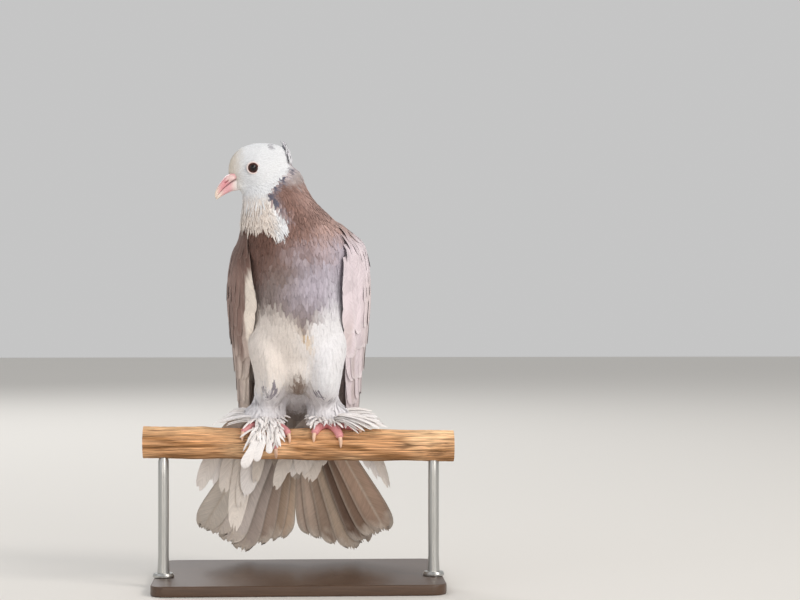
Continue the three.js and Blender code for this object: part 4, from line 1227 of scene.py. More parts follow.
def wingCore(side, plan):
    def place(t, angle, roundness):
        s = mix(plan["from"], plan["to"], t)
        opened = np.minimum(1, roundness * 1.5)
        turn = mix(plan["front"](s), plan["rear"](s), 0.5 + 0.5 * fuller(np.sin(angle)) * opened)
        outer, inner = plan["outer"](s), plan["inner"](s)
        lift = (outer + inner) / 2 + (outer - inner) / 2 * fuller(np.cos(angle)) * opened
        return onWing(side, s, turn, lift)

    return loftedBall("core", 56, 48, place)


def makeWing(name, side):
    core = joinPieces([wingCore(side, plan) for plan in wingCores.values()], f"wing_core_{name}")
    x, y, z = inMillimetres(pointsOf(core)).T
    s = np.clip(downWing(z), -10, 140)
    turn = np.degrees(np.arctan2((y - wingMiddleY(s)) / 38, side * x / 50))
    # the core shows only in the gaps between the feathers and is painted darker than them, as shade
    paint(core, wingTint(side, s, turn, 0 * s + 0.5, 0 * s).reshape(-1, 3) * 0.72)
    finishPiece(core, featheredSkin, (f"wing_{name}", f"primaries_{name}"))

    coat = newCoat()
    total = sum(row["count"] for row in wingRows) + primaryPlan["count"]
    cells = math.ceil(math.sqrt(total))
    # the bird's right shoulder lies lower, under the breast's feathers
    rows = wingRows if side > 0 else wingRows[1:]
    for number, row in enumerate(rows):
        draw = np.random.default_rng(400 + number + 50 * side)
        share = np.linspace(0, 1, row["count"])[:, None]
        rootTurn = mix(*row["spread"], share)
        tipTurn = mix(*row["tipSpread"], share) + draw.normal(0, 0.6, share.shape)
        long = row["root"] > 30
        tip = mix(*row["tips"], share) + draw.normal(0, 2.6 if long else 1.3, share.shape)
        spacing = (row["tipSpread"][1] - row["tipSpread"][0]) / (row["count"] - 1)
        tilt = 0.75 * turnPerMillimetre(tip, tipTurn) / spacing
        rootLift = armOuter(row["root"]) - 1.7

        def spot(t):
            s = mix(row["root"], tip, t)
            front = mix(row["spread"][0], row["tipSpread"][0], t)
            return s, forward(side, s, mix(rootTurn, tipTurn, t), front)

        def place(t, across, lift):
            s, turn = spot(t)
            height = mix(rootLift, row["lift"], ease(t / 0.3)) - tilt * across + lift + hugging(s, turn)
            return onWing(side, s, turn + across * turnPerMillimetre(s, turn), height)

        def tintOf(t, u):
            s, turn = spot(t)
            return wingTint(side, s, turn + u * 5, t, u)

        def upward(t, across):
            s, turn = spot(t)
            return outOfWing(side, s, turn + across * turnPerMillimetre(s, turn))

        blade = bladeGrid(longRows if long else shortRows, fineColumns if long else coarseColumns)
        widths = row["width"] * draw.uniform(0.94, 1.06, row["count"])
        shape = bluntTip if long else roundTip
        lengths = (tip - row["root"])[:, 0]
        seed = 420 + number
        bigFeathers(
            coat, cells, blade, place, widths, lengths, shape, tintOf, seed, under=0.9, upward=upward
        )
    plan = primaryPlan
    share = np.linspace(0, 1, plan["count"])[:, None]
    tip = mix(*plan["tips"], share**0.85)
    height = -13.9 + 0.6 + 0.87 * 5 / 7 * layerHeight * np.arange(plan["count"])[:, None]
    rootTurn, tipTurn = mix(*plan["spread"], share), mix(*plan["tipSpread"], share)

    def placePrimary(t, across, lift):
        s, turn = mix(plan["root"], tip, t), mix(rootTurn, tipTurn, t)
        return onWing(side, s, turn + across * turnPerMillimetre(s, turn), height + lift)

    def tintPrimary(t, u):
        s, turn = mix(plan["root"], tip, t), mix(rootTurn, tipTurn, t)
        return blend(wingTint(side, s, turn, t, u), shades["tailBrown"], 0.45 + 0.2 * t)

    blade = bladeGrid(longRows, fineColumns)
    widths = np.full(plan["count"], plan["width"])
    lengths = (tip - plan["root"])[:, 0]
    bigFeathers(
        coat, cells, blade, placePrimary, widths, lengths, narrowTip, tintPrimary, 440, under=0.8
    )
    coatPiece(f"wing_feathers_{name}", coat, flightVanes)


for name, side in flanks.items():
    makeWing(name, side)
print("skin, coat and wings made")


# Tail: along runs down from its root and lift goes towards the bird's back

# painted light: the tones are the tail's underside, painted brighter to make up for the shade it lies in
# below the branch; the upper side takes this share of them
tailPaintedLight = 0.72  # how dark the tail's upper side is beside its underside
# angles and tones run from the outermost feather inwards
tailFan = {
    "left": {
        "angles": (27.5, 23.6, 19.6, 15.6, 11.2, 7.2, 4.2),
        "lengths": (128, 131, 136, 141, 134, 129, 127),
        "tones": ("#c1a592", "#937a69", "#7f6759", "#c9b5a2", "#a18d7e", "#cfbaaa", "#d2beaf"),
    },
    "right": {
        "angles": (-29.5, -24.6, -19.8, -15.2, -11.2, -7.8, -5),
        "lengths": (127, 130, 135, 141, 133, 129, 128),
        "tones": ("#ece4da", "#e8ded6", "#ded4ce", "#c7b9b1", "#baa699", "#b29d8b", "#cfb8a3"),
    },
}
covertKeys = ("face", "count", "fan", "lengths", "width", "height")
covertRows = {
    "undertail_coverts": ((-1, 9, 25, (44, 66), 11, 6.4), (-1, 8, 20, (26, 36), 10, 8.4)),
    "uppertail_coverts": ((1, 9, 28, (34, 46), 11, 6.4), (1, 8, 22, (20, 30), 10, 8.6)),
}


def tailPlace(offset, angle, length, height):
    a = np.radians(angle)

    def place(t, across, lift):
        reach = length * t
        aside = offset + reach * np.sin(a) + across * np.cos(a)
        return onTail(reach * np.cos(a) - across * np.sin(a), aside, height + lift)

    return place


def makeTailHalf(name, side):
    angles, lengths = (np.array(tailFan[name][key], float)[:, None] for key in ("angles", "lengths"))
    order = np.arange(len(angles))[:, None]
    coat = newCoat()
    tones = np.array([linear(tone) for tone in tailFan[name]["tones"]])[:, None, :]

    def tintOf(t, u):
        broad = ripple(np.stack([order * 9 + 0 * t, t * 90, 6 * u], -1), 20, 31 + side)
        fine = ripple(np.stack([order * 9 + 0 * t, t * 120, 9 * u], -1), 4, 33 + side)
        colour = tones * (1 + 0.12 * broad + 0.06 * fine)[..., None]
        colour = blend(colour, shades["tailPale"], ease((t - 0.9 + 0.05 * fine + 0.04 * u**2) / 0.1) * 0.8)
        colour = blend(colour, shades["tailPale"], ease((np.abs(u) - 0.72) / 0.28) * 0.35)
        # painted shade near the edges of the feathers on the bird's left half, where they overlap
        dark = np.exp(-(((np.abs(u) - 0.86) / 0.1) ** 2)) * 0.3 * (side > 0)
        colour = blend(colour, shades["tailGapShadow"], dark)
        return tailPaintedLight * blend(colour, shades["shaft"], np.exp(-((u / 0.07) ** 2)) * 0.7)

    heights = layerHeight * (order - 3) + 0.7 * (side > 0)
    place = tailPlace(side * (12 - 1.6 * order), angles, lengths, heights)
    blade = bladeGrid(tailRows, tailColumns)
    widths = np.linspace(22.5, 20.5, len(angles))
    # the underside keeps the full, brighter tones, as painted light
    under = 1 / tailPaintedLight
    bigFeathers(
        coat, 3, blade, place, widths, lengths[:, 0], squareTip, tintOf, 450 + side, under=under
    )
    coatPiece(f"tail_feathers_{name}", coat, flightVanes, (f"tail_{name}",))


def makeCoverts(name, rows):
    coat = newCoat()
    for number, values in enumerate(rows):
        row = dict(zip(covertKeys, values))
        draw = np.random.default_rng(460 + number)
        across = np.linspace(-1, 1, row["count"])[:, None]
        middle = 1 - np.abs(across)
        lengths = mix(*row["lengths"], middle) * draw.uniform(0.93, 1.07, across.shape)
        height = row["face"] * (row["height"] + 2.4 * middle)
        shown = shades["rump"] if row["face"] > 0 else shades["cream"]
        darker = shades["backGrey"] if row["face"] > 0 else shades["cleft"]
        share = draw.uniform(*((0.3, 0.9) if row["face"] < 0 else (0, 0.8)), across.shape)

        def tintOf(t, u):
            colour = blend(shown[None, None, :], darker, share + 0 * t)
            return blend(colour, shades["tailPale"], ease((t - 0.7) / 0.3) * 0.5)

        place = tailPlace(across * 11.5, across * row["fan"], lengths, height)
        widths = np.full(row["count"], float(row["width"]))
        blade = bladeGrid(longRows, coarseColumns)
        bigFeathers(
            coat, 5, blade, place, widths, lengths[:, 0], roundTip, tintOf, 470 + number, 0.08, 0.8
        )
    coatPiece(name + "_feathers", coat, contourVanes, (name,))


for name, side in flanks.items():
    makeTailHalf(name, side)
for name, rows in covertRows.items():
    makeCoverts(name, rows)


# Foot feathers: fans from the first root and tip to the last, in millimetres outwards from the
# foot's hub, forwards of the branch's axis and up from it, then how many, how far they bow
# upwards and how wide they are

fanKeys = ("roots", "tips", "count", "rise", "width")
footFans = {
    "right": [
        (((8, 1, 17), (8, -6, 20)), ((41, 4, 14.5), (25, -12, 23)), 14, 3, 5.5),
        (((6, 5, 17), (7, 2, 18)), ((30, 9, 14), (38, 7, 15)), 4, 2, 4.5),
        (((-6, 4, 17), (-6, -3, 18)), ((-15, 7, 14), (-19, -2, 17)), 5, 2, 4),
    ],
    "left": [
        (((8, 4, 16), (8, -6, 20)), ((47, 7, 12.5), (34, -14, 22)), 14, 3, 8),
        (((5, 9, 18), (8, 7, 19)), ((24, 16.5, 8), (46, 13.5, 9.5)), 9, 3.5, 7),
        (((-7, 5, 17), (-7, -4, 19)), ((-16, 8, 14), (-19, -3, 17)), 6, 2, 4.5),
    ],
}
# Hanging feathers, each with its root, tip and width: the leaves that show below the branch
hangingFeathers = {
    "right": [
        ((-33, 5, 18), (-77, 22, -38), 13),
        ((-31, 5, 18), (-67, 23, -35), 11),
        ((-29, 5, 18), (-58, 24, -42), 15),
        ((-27, 6, 18), (-50, 25, -71), 16),
        ((-25, 6, 18), (-45, 24, -54), 11),
        ((-22, 6, 18), (-40, 24, -44), 15),
        ((-19, 6, 18), (-33, 24, -33), 10),
    ],
    "left": [
        ((19, 6, 18), (-19, 24, -38), 11),
        ((18, 6, 18), (-8, 24, -29), 12),
        ((18, 6, 18), (1, 24, -28), 16),
        ((21, 6, 18), (7, 23, -34), 17),
        ((24, 6, 18), (16, 24, -21), 13),
        ((29, 6, 18), (54, 24, -22), 9),
        ((30, 5, 18), (61, 24, -31), 9),
        ((31, 5, 18), (69, 23, -39), 8),
    ],
}
# The plume over the middle toe: x outwards from the hub, degrees round the branch, distance
# from its axis, for the root and the tip of each large feather; small ones cover their roots
toePlume = {
    "right": {
        "large": [
            ((1, 66, 16.5), (16.5, 124, 29), 8),
            ((-1, 64, 17), (7, 116, 26), 6),
            ((-3, 66, 17), (-3, 104, 23), 5),
        ],
        "small": {"count": 96, "turn": (-14, 66), "aside": (-12, 11), "splay": 4.5, "reach": 40},
    },
    "left": {
        "large": [],
        "small": {"count": 64, "turn": (-16, 18), "aside": (-11, 15), "splay": 4.5, "reach": 34},
    },
}


def pathPlace(roots, middles, tips, facing):
    # feathers that bend from their roots past their middles to their tips
    roots, middles, tips, facing = (np.asarray(a)[:, None, :] for a in (roots, middles, tips, facing))

    def place(t, across, lift):
        t = t[..., None]
        at = roots * (1 - t) * (1 - 2 * t) + middles * 4 * t * (1 - t) + tips * t * (2 * t - 1)
        ahead = unit(roots * (4 * t - 3) + middles * (4 - 8 * t) + tips * (4 * t - 1))
        side = unit(np.cross(ahead, facing))
        return at + side * across[..., None] + np.cross(side, ahead) * lift[..., None]

    return place


def muffTint(share):
    # white foot feathers, creamier by each one's share and towards the root
    def tintOf(t, u):
        colour = blend(shades["muff"][None, None, :], shades["muffCream"], share[:, None] + 0 * t)
        return blend(colour, shades["muffCream"] * 0.9, ease((0.3 - t) / 0.3) * 0.5)

    return tintOf


def makeFan(coat, group, leg, seed):
    draw = np.random.default_rng(seed)
    count = group["count"]
    share = np.linspace(0, 1, count)[:, None]

    def fromHub(place):
        return np.array([leg["hub"] + leg["side"] * place[0], -place[1], place[2]], float)

    roots, tips = (mix(*(fromHub(end) for end in group[key]), share) for key in ("roots", "tips"))
    roots = roots + draw.normal(0, 0.8, (count, 3))
    shorter = np.where(np.arange(count) % 2, draw.uniform(0.78, 0.95, count), 1)
    tips = roots + (tips - roots) * shorter[:, None]
    middles = mix(roots, tips, 0.46) + np.array([0, 0, group["rise"]])
    facing = np.array([0, -0.25, 1]) + draw.normal(0, 0.14, (count, 3))
    apart = unit(facing) * (2.6 / max(1, count - 1) * np.arange(count))[:, None]
    place = pathPlace(roots + apart, middles + apart, tips + apart, facing)
    widths = group["width"] * draw.uniform(0.8, 1.15, count)
    blade = bladeGrid(longRows, coarseColumns)
    lengths = np.linalg.norm(tips - roots, axis=1)
    tint = muffTint(draw.uniform(0, 0.4, count))
    bigFeathers(coat, 8, blade, place, widths, lengths, narrowTip, tint, seed, 0.1, 0.6)


def makeHanging(coat, name, leg):
    draw = np.random.default_rng(490 + leg["side"])
    plan = hangingFeathers[name]
    roots, tips = (np.array([feather[i] for feather in plan], float) for i in (0, 1))
    count = len(plan)
    drop = roots[:, 2] - tips[:, 2]
    middles = mix(roots, tips, 0.46)
    middles[:, 2] += 6 + 0.2 * drop
    middles[:, 1] += 0.12 * drop
    facing = np.array([0.15 * leg["side"], 1, 0.5]) + draw.normal(0, 0.1, (count, 3))
    apart = unit(facing) * (0.9 * (np.arange(count) * 5 % count) * 4 / count)[:, None]
    place = pathPlace(roots + apart, middles + apart, tips + apart, facing)
    widths = np.array([feather[2] for feather in plan], float)
    lengths = np.linalg.norm(tips - roots, axis=1) * 1.15
    blade = bladeGrid(longRows, fineColumns)
    tint = muffTint(draw.uniform(0.1, 0.9, count))
    bigFeathers(coat, 8, blade, place, widths, lengths, leafTip, tint, 495, 0.05, 0.8)


def plumePlace(leg, roots, tips):
    # feathers that lie round the branch
    along = tips[:, :1] - roots[:, :1]
    down = np.radians(tips[:, 1:2] - roots[:, 1:2]) * (roots[:, 2:] + tips[:, 2:]) / 2
    length = np.hypot(along, down)

    def place(t, across, lift):
        x, turn, out = (mix(roots[:, i : i + 1], tips[:, i : i + 1], t) for i in range(3))
        reach = out + lift + 0.9 * np.sin(math.pi * t)
        a = np.radians(turn) - across * along / length / reach
        x = x + across * down / length
        return np.stack([leg["hub"] + leg["side"] * x, -reach * np.sin(a), reach * np.cos(a)], -1)

    return place


def makePlume(coat, name, leg):
    draw = np.random.default_rng(510 + leg["side"])
    plan = toePlume[name]
    for large in plan["large"]:
        roots, tips = (np.array([large[i]], float) for i in (0, 1))
        blade = bladeGrid(longRows, fineColumns)
        place = plumePlace(leg, roots, tips)
        tint = muffTint(np.array([0.15]))
        width, length = np.array([large[2]]), np.array([30.0])
        bigFeathers(coat, 8, blade, place, width, length, leafTip, tint, 520, 0.06, 0.5)
    small = plan["small"]
    count = small["count"]
    share = np.linspace(1, 0, count)
    aside = draw.uniform(*small["aside"], count) * mix(0.45, 1, share)
    turn = mix(*small["turn"], share) + draw.normal(0, 3, count)
    out = 17.2 + draw.uniform(0, 2.2, count) + 1.6 * (1 - share)
    roots = np.stack([aside, turn, out], -1)
    splay = draw.normal(0, small["splay"], count) + 0.35 * aside
    reach = small["reach"] * draw.uniform(0.7, 1.1, count)
    tips = np.stack([aside + splay, turn + reach, out + draw.uniform(0, 2.6, count)], -1)
    blade = bladeGrid(shortRows, coarseColumns)
    widths = draw.uniform(1.3, 2.5, count)
    tint = muffTint(draw.uniform(0, 0.35, count))
    place = plumePlace(leg, roots, tips)
    bigFeathers(coat, 8, blade, place, widths, np.full(count, 11.0), narrowTip, tint, 521, 0.12, 0.3)


def makeFootFeathers(name, leg):
    coat = newCoat()
    for number, values in enumerate(footFans[name]):
        makeFan(coat, dict(zip(fanKeys, values)), leg, 480 + number + 10 * leg["side"])
    makeHanging(coat, name, leg)
    makePlume(coat, name, leg)
    coatPiece(f"foot_feathers_{name}", coat, flightVanes, (f"shank_{name}",))


for name, leg in legPlan.items():
    makeFootFeathers(name, leg)
print("tail and foot feathers made")


# Crest: the nape's feathers turn up along the head and meet in a small peak. Each tier has its
# root's and tip's direction round the skull (degrees) and distance from its centre, and half the
# tier's width at both.

tierKeys = ("count", "root", "tip", "rootHalf", "tipHalf")
crestTiers = [
    dict(zip(tierKeys, tier))
    for tier in (
        (13, (36, 25), (56, 30.6), 6, 1.8),
        (15, (29, 24.9), (48.5, 28.6), 7.5, 4),
        (16, (21, 24.6), (40, 27), 8.5, 6.5),
    )
]
crestWidth = 2.3


def makeCrest():
    coat = newCoat()
    blade = bladeGrid(shortRows, coarseColumns)
    for number, tier in enumerate(crestTiers):
        draw = np.random.default_rng(61 + number)
        across = np.linspace(-1, 1, tier["count"])

        def onSkull(end, offset, halfWidth):
            angle = np.radians(tier[end][0] + offset)
            radius = tier[end][1] - 2.6 * across**2
            spot = np.stack([radius * np.cos(angle), across * halfWidth, radius * np.sin(angle)], -1)
            return skull["centre"] + spot

        roots = onSkull("root", 0 * across, tier["rootHalf"])
        tips = onSkull("tip", draw.normal(0, 2, tier["count"]) - 4 * across**2, tier["tipHalf"])
        middles = mix(roots, tips, 0.5) + unit(mix(roots, tips, 0.5) - skull["centre"]) * 0.9
        facing = unit(mix(roots, tips, 0.5) - skull["centre"])
        place = pathPlace(roots, middles, tips, facing)
        share = draw.uniform(0.1, 0.9, tier["count"])

        def tintOf(t, u):
            grey = share[:, None] * (0.5 + 0.4 * np.abs(u))
            return blend(shades["white"][None, None, :], shades["lavender"], grey)

        widths = crestWidth * draw.uniform(0.85, 1.15, tier["count"])
        lengths = np.linalg.norm(tips - roots, axis=1)

        def turned(t, along, lift):
            return turnHead(place(t, along, lift))

        def outwards(t, along):
            return unit(turned(t, along, 0 * t) - skull["centre"] + np.array([0, -18, 0]))

        seed = 66 + number
        bigFeathers(
            coat, 6, blade, turned, widths, lengths, narrowTip, tintOf, seed, 0.1, 0.3, upward=outwards
        )
    coatPiece("crest_feathers", coat, contourVanes)


makeCrest()
print("crest made")


# Eyes and lids

eyeShades = {"pupil": "#080507", "iris": "#2b1410", "rim": "#4a2519", "white": "#1b1010"}
lidSettings = {"radius": 4.35, "thickness": 0.62, "out": 2.45, "corner": 1.6, "wrinkles": 26}
lidShades = {"skin": "#e6dbd8", "inner": "#cf9f9a", "corner": "#3a2420"}


def makeEye(name, side):
    deselectAll()
    bpy.ops.mesh.primitive_uv_sphere_add(segments=64, ring_count=40, radius=1, rotation=(math.pi / 2, 0, 0))
    bpy.ops.object.transform_apply(location=False, rotation=True, scale=False)
    eye = bpy.context.object
    eye.name = f"eyeball_{name}"
    points = unit(pointsOf(eye))
    off = np.degrees(np.arccos(np.clip(points[:, 1] * side, -1, 1)))  # from the pupil's middle
    radius = eyePlan["radius"] + 0.25 * np.exp(-((off / 30) ** 2))
    movePoints(eye, inMetres(turnHead(eyeCentre(side) + points * radius[:, None])))
    rays = 0.5 + 0.5 * np.sin(np.arctan2(points[:, 2], points[:, 0]) * 23 + off * 0.1)
    tones = {key: linear(value) for key, value in eyeShades.items()}
    colour = blend(tones["pupil"][None, :], tones["iris"], ease((off - 22) / 5))
    colour = blend(colour, tones["rim"], ease((off - 34) / 12) * (0.6 + 0.4 * rays))
    colour = blend(colour, tones["white"], ease((off - 54) / 8))
    paint(eye, colour)
    facesOutwards(eye)
    bpy.ops.object.shade_smooth()
    finishPiece(eye, wetEye, (f"eye_{name}",))


def makeLids(name, side):
    deselectAll()
    bpy.ops.mesh.primitive_torus_add(
        major_segments=96,
        minor_segments=16,
        major_radius=lidSettings["radius"],
        minor_radius=lidSettings["thickness"],
        rotation=(math.pi / 2, 0, 0),
    )
    bpy.ops.object.transform_apply(location=False, rotation=True, scale=False)
    lids = bpy.context.object
    lids.name = f"eyelids_{name}"
    points = pointsOf(lids)
    angle = np.arctan2(points[:, 2], points[:, 0])
    wrinkle = 1 + 0.02 * np.sin(lidSettings["wrinkles"] * angle)
    corner = lidSettings["corner"] * np.exp(-((angle / 0.3) ** 2))
    points[:, [0, 2]] *= wrinkle[:, None]
    points[:, 0] += corner
    points[:, 2] *= 0.96
    fall = 0.03 * (np.hypot(points[:, 0], points[:, 2]) - lidSettings["radius"])
    points[:, 1] += side * (lidSettings["out"] - fall)
    movePoints(lids, inMetres(turnHead(eyeCentre(side) + points)))
    inner = ease((lidSettings["radius"] + 0.1 - np.hypot(points[:, 0], points[:, 2])) / 0.8)
    tones = {key: linear(value) for key, value in lidShades.items()}
    colour = blend(tones["skin"][None, :], tones["inner"], inner * 0.45)
    colour = blend(colour, tones["corner"], np.exp(-((angle / 0.12) ** 2)) * 0.9)
    paint(lids, colour)
    facesOutwards(lids)
    bpy.ops.object.shade_smooth()
    finishPiece(lids, lidSkin)


for name, side in cheeks.items():
    makeEye(name, side)
    makeLids(name, side)


# Bill: its ridge, the line of the mouth and its underside, from billFrom in millimetres

billPlan = {
    "ridge": ((-9, -1), (-19.3, -5.6), (-23.4, -9.8), (-26.7, -14.6), (-28.5, -19.2), (-27.8, -23.8)),
    "mouth": ((-5, -6.4), (-12, -8.4), (-16.8, -11.6), (-21.2, -15.2), (-25.2, -19.4), (-27.6, -23.4)),
    "underside": ((-4, -13), (-11, -16.6), (-15.6, -17.4), (-20.4, -19.6), (-24.4, -22), (-27.2, -24)),
    "halfWidth": (4.6, 4.5, 3.7, 2.9, 1.9, 0.7),
    "jawWidth": (2.6, 3.5, 3.3, 2.6, 1.7, 0.6),
    "voxel": 0.26,
    "nostril": 0.9,
}
billShades = {
    "horn": "#dd9fa4",
    "tip": "#ecdccb",
    "cere": "#e6cac6",
    "blush": "#d5868c",
    "nostril": "#9c545c",
    # painted shade along the line of the mouth
    "mouth": "#4d3034",
    "jaw": "#dfa8ac",
    "jawTip": "#ecdfd0",
    "jawRear": "#e6d3ce",
    "jawRoot": "#e4dcda",
}


def stops(values):
    # a smooth curve through values spaced evenly from 0 to 1
    return through([(i / (len(values) - 1), value) for i, value in enumerate(values)])


def mandible(name, upperEdge, lowerEdge, widths):
    upperX, upperZ = (stops([p[i] for p in upperEdge]) for i in (0, 1))
    lowerX, lowerZ = (stops([p[i] for p in lowerEdge]) for i in (0, 1))
    halfWidth = stops(billPlan[widths])

    def place(t, angle, roundness):
        top = np.stack([upperX(t), 0 * t, upperZ(t)], -1)
        low = np.stack([lowerX(t), 0 * t, lowerZ(t)], -1)
        size = np.minimum(1, roundness * 2)
        tall = np.linalg.norm(top - low, axis=1) / 2 * size * fuller(np.cos(angle))
        at = (top + low) / 2 + unit(top - low) * tall[:, None]
        at[:, 1] = halfWidth(t) * size * fuller(np.sin(angle))
        return turnHead(at + billFrom)

    return loftedBall(name, 48, 44, place)


def nostrilDepth(points):
    # how deep in the slit below each swelling of the cere a point of the bill lies, from 0 to 1
    depth = np.zeros(len(points))
    for side in cheeks.values():
        offset = points - turnHead(billFrom + np.array([-20.2, side * 3.6, -10.6]))
        along = offset[:, 0] * 0.8 + offset[:, 2] * 0.6
        above = offset[:, 2] * 0.8 - offset[:, 0] * 0.6
        within = ease((2.3 - np.abs(along)) / 1) * (offset[:, 1] * side > -2.2)
        depth = np.maximum(depth, within * np.exp(-((above / 0.45) ** 2)))
    return depth


def overMouth(local):
    # how far above the line of the mouth a point of the bill lies
    away, height = zip(*((-x, z) for x, z in billPlan["mouth"]))
    return local[:, 2] - np.interp(-local[:, 0], away, height)


def makeBill():
    tones = {key: linear(value) for key, value in billShades.items()}
    parts = [mandible("bill_upper_horn", billPlan["ridge"], billPlan["mouth"], "halfWidth")]
    for side in cheeks.values():
        centre = turnHead(billFrom + np.array([-17, side * 2.2, -8.1]))
        parts.append(eggBall("cere", centre, (4.4, 2.6, 2.2)))
    upper = joinPieces(parts, "bill_upper_horn")
    applyModifier(upper, "REMESH", mode="VOXEL", voxel_size=billPlan["voxel"] * millimetre)
    applyModifier(upper, "SMOOTH", factor=0.5, iterations=8)
    points = inMillimetres(pointsOf(upper))
    slit = nostrilDepth(points)
    inwards = turnHead(points * np.array([1, 0, 1]) + np.array([0, -5.0, 0])) - points
    movePoints(upper, inMetres(points + billPlan["nostril"] * slit[:, None] * unit(inwards)))
    local = points - billFrom
    length = np.clip(-local[:, 0] / 28, 0, 1)
    fine = ripple(points, 1.2, 71)
    bulge = ease((1 - np.hypot((local[:, 0] + 16.6) / 5.6, (local[:, 2] + 8) / 3.6)) / 0.5)
    colour = blend(tones["horn"][None, :], tones["tip"], ease((length - 0.8) / 0.2))
    colour = blend(colour, tones["cere"], np.maximum(bulge, ease((0.46 - length) / 0.2)) * 0.9)
    colour = blend(colour, tones["blush"], np.exp(-(((length - 0.74) / 0.07) ** 2)) * 0.35)
    # painted shade inside the nostril's slit
    colour = blend(colour * (1 + 0.04 * fine)[:, None], tones["nostril"], slit * 0.9)
    # painted shade along the line of the mouth, where the upper bill overlaps the lower, fading towards the
    # tip
    gape = np.exp(-(((overMouth(local) - 0.2) / 0.5) ** 2)) * ease((0.86 - length) / 0.3)
    colour = blend(colour, tones["mouth"], gape * 0.7)
    paint(upper, colour)
    bpy.ops.object.shade_smooth()
    finishPiece(upper, billHorn, ("bill_upper",))

    edges = zip(billPlan["mouth"], billPlan["ridge"])
    jawTop = [tuple(mix(np.array(low), np.array(high), 0.25)) for low, high in edges]
    lower = mandible("bill_lower_horn", jawTop, billPlan["underside"], "jawWidth")
    local = inMillimetres(pointsOf(lower)) - billFrom
    length = np.clip(-local[:, 0] / 28, 0, 1)
    colour = blend(tones["jaw"][None, :], tones["jawTip"], ease((length - 0.7) / 0.25))
    colour = blend(colour, tones["jawRear"], ease((0.62 - length) / 0.16))
    colour = blend(colour, tones["jawRoot"], ease((0.5 - length) / 0.1))
    # painted shade along the line of the mouth on the lower bill
    colour = blend(colour, tones["mouth"], np.exp(-((overMouth(local) / 0.5) ** 2)) * 0.8)
    paint(lower, colour)
    finishPiece(lower, billHorn, ("bill_lower",))


makeBill()


# Feet: how far round the branch each toe reaches (degrees), how far aside its tip lies and how
# thick it is

toes = {
    "right": {
        "inner": (58, -18, 2.9),
        "middle": (120, -8, 3.1),
        "outer": (52, 17, 2.8),
        "hind": (-62, -5, 2.6),
    },
    "left": {
        "inner": (54, -10, 2.9),
        "middle": (72, 10, 3.1),
        "outer": (14, 25, 2.8),
        "hind": (-62, -4, 2.6),
    },
}
# "share" is where a toe's skin ends and its claw starts
toeSettings = {"clawReach": 26, "hubTurn": -8, "share": 0.7, "scuteLength": 1.7, "gap": 0.3}
# low is painted shade where a toe lies close on the branch
footShades = {"skin": "#dd979a", "low": "#c97d80", "claw": "#e6c1a8"}


def toeCurve(leg, reach, aside, radius):
    def curve(t):
        turn = np.radians(mix(toeSettings["hubTurn"], reach + np.sign(reach) * toeSettings["clawReach"], t))
        x = leg["hub"] + leg["side"] * aside * np.sin(math.pi / 2 * np.minimum(1, t * 1.15))
        out = branch["radius"] + toeSettings["gap"] + radius * 0.92
        out = out - 2 * ease((t - toeSettings["share"]) / 0.3)
        return np.stack([x, -out * np.sin(turn), branch["slope"] * x + out * np.cos(turn)], -1)

    return curve


def makeFoot(name, leg):
    skinParts, claws = [eggBall("hub", (leg["hub"], 1.5, 16), (5.5, 6, 4.5))], []
    for reach, aside, radius in toes[name].values():
        curve = toeCurve(leg, reach, aside, radius)
        steps = np.diff(curve(np.linspace(0, toeSettings["share"], 30)), axis=0)
        length = np.linalg.norm(steps, axis=1).sum()
        thickness = through(
            [(0, radius * 1.15), (0.4, radius), (0.66, radius * 0.9), (0.72, radius * 0.66)]
        )
        clawSize = through([(0.66, 1.7), (0.74, 1.5), (0.86, 1.15), (0.95, 0.7), (1, 0.2)])

        def place(t, angle, roundness):
            at = mix(0, 0.72, t)
            scute = (t * length / toeSettings["scuteLength"]) % 1
            ridge = 1 + 0.075 * (scute**0.6 - 0.6) * ease((np.cos(angle) + 0.35) / 0.6)
            pad = 1 + 0.05 * np.sin(t * length / 3.1 * 2 * math.pi) * ease((-np.cos(angle) - 0.2) / 0.5)
            size = thickness(at) * ridge * pad
            return tubePoints(curve, lambda _: size, at, angle, roundness)

        skinParts.append(loftedBall("toe", 28, 72, place))

        def placeClaw(t, angle, roundness):
            at = mix(0.67, 1, t)
            return tubePoints(curve, lambda _: clawSize(at), at, angle, roundness)

        claws.append(loftedBall("claw", 20, 24, placeClaw))
    tones = {key: linear(value) for key, value in footShades.items()}
    clawNodes = tuple(f"claw_{name}_{digit}" for digit in toes[name])
    for parts, pieceName, material, slot, nodes in (
        (skinParts, f"toes_{name}", toeSkin, "toe_skin", (f"foot_{name}",)),
        (claws, f"claws_{name}", clawHorn, "claw_horn", clawNodes),
    ):
        piece = joinPieces(parts, pieceName)
        points = inMillimetres(pointsOf(piece))
        fine = ripple(points, 1.6, 81)
        if material is toeSkin:
            # painted shade: each toe darker where it lies close on the branch
            away = np.hypot(points[:, 1], points[:, 2]) - branch["radius"]
            colour = blend(tones["skin"][None, :], tones["low"], ease((2.6 - away) / 2.4))
            colour = colour * (1 + 0.06 * fine)[:, None]
        else:
            colour = tones["claw"] * (1 + 0.05 * fine)[:, None]
        paint(piece, colour)
        finishPiece(piece, material, nodes)


for name, leg in legPlan.items():
    makeFoot(name, leg)
print("eyes, bill and feet made")


# Branch and stand

# knots by x and by turn round the branch
barkSettings = {
    "around": 160,
    "along": 260,
    "grain": 0.34,
    "furrows": (5, 9, 14, 23, 31, 43, 61),
    "knots": ((-72, 0.6), (64, 2.4), (103, 4.4)),
}
barkShades = {
    "pale": "#d6a478",
    "brown": "#9c7048",
    "bare": "#ecc49a",
    "crack": "#5d3f28",
    # painted light on the branch's top, and painted shade on its underside
    "top": "#f2cfa4",
    "below": "#7b5a3d",
    "sawn": "#c9a67c",
    "ring": "#a98256",
}
standSettings = {"corner": 12, "edge": 1.2, "wood": "#4f3a2b", "steel": "#b9b9b6", "rodX": 101}


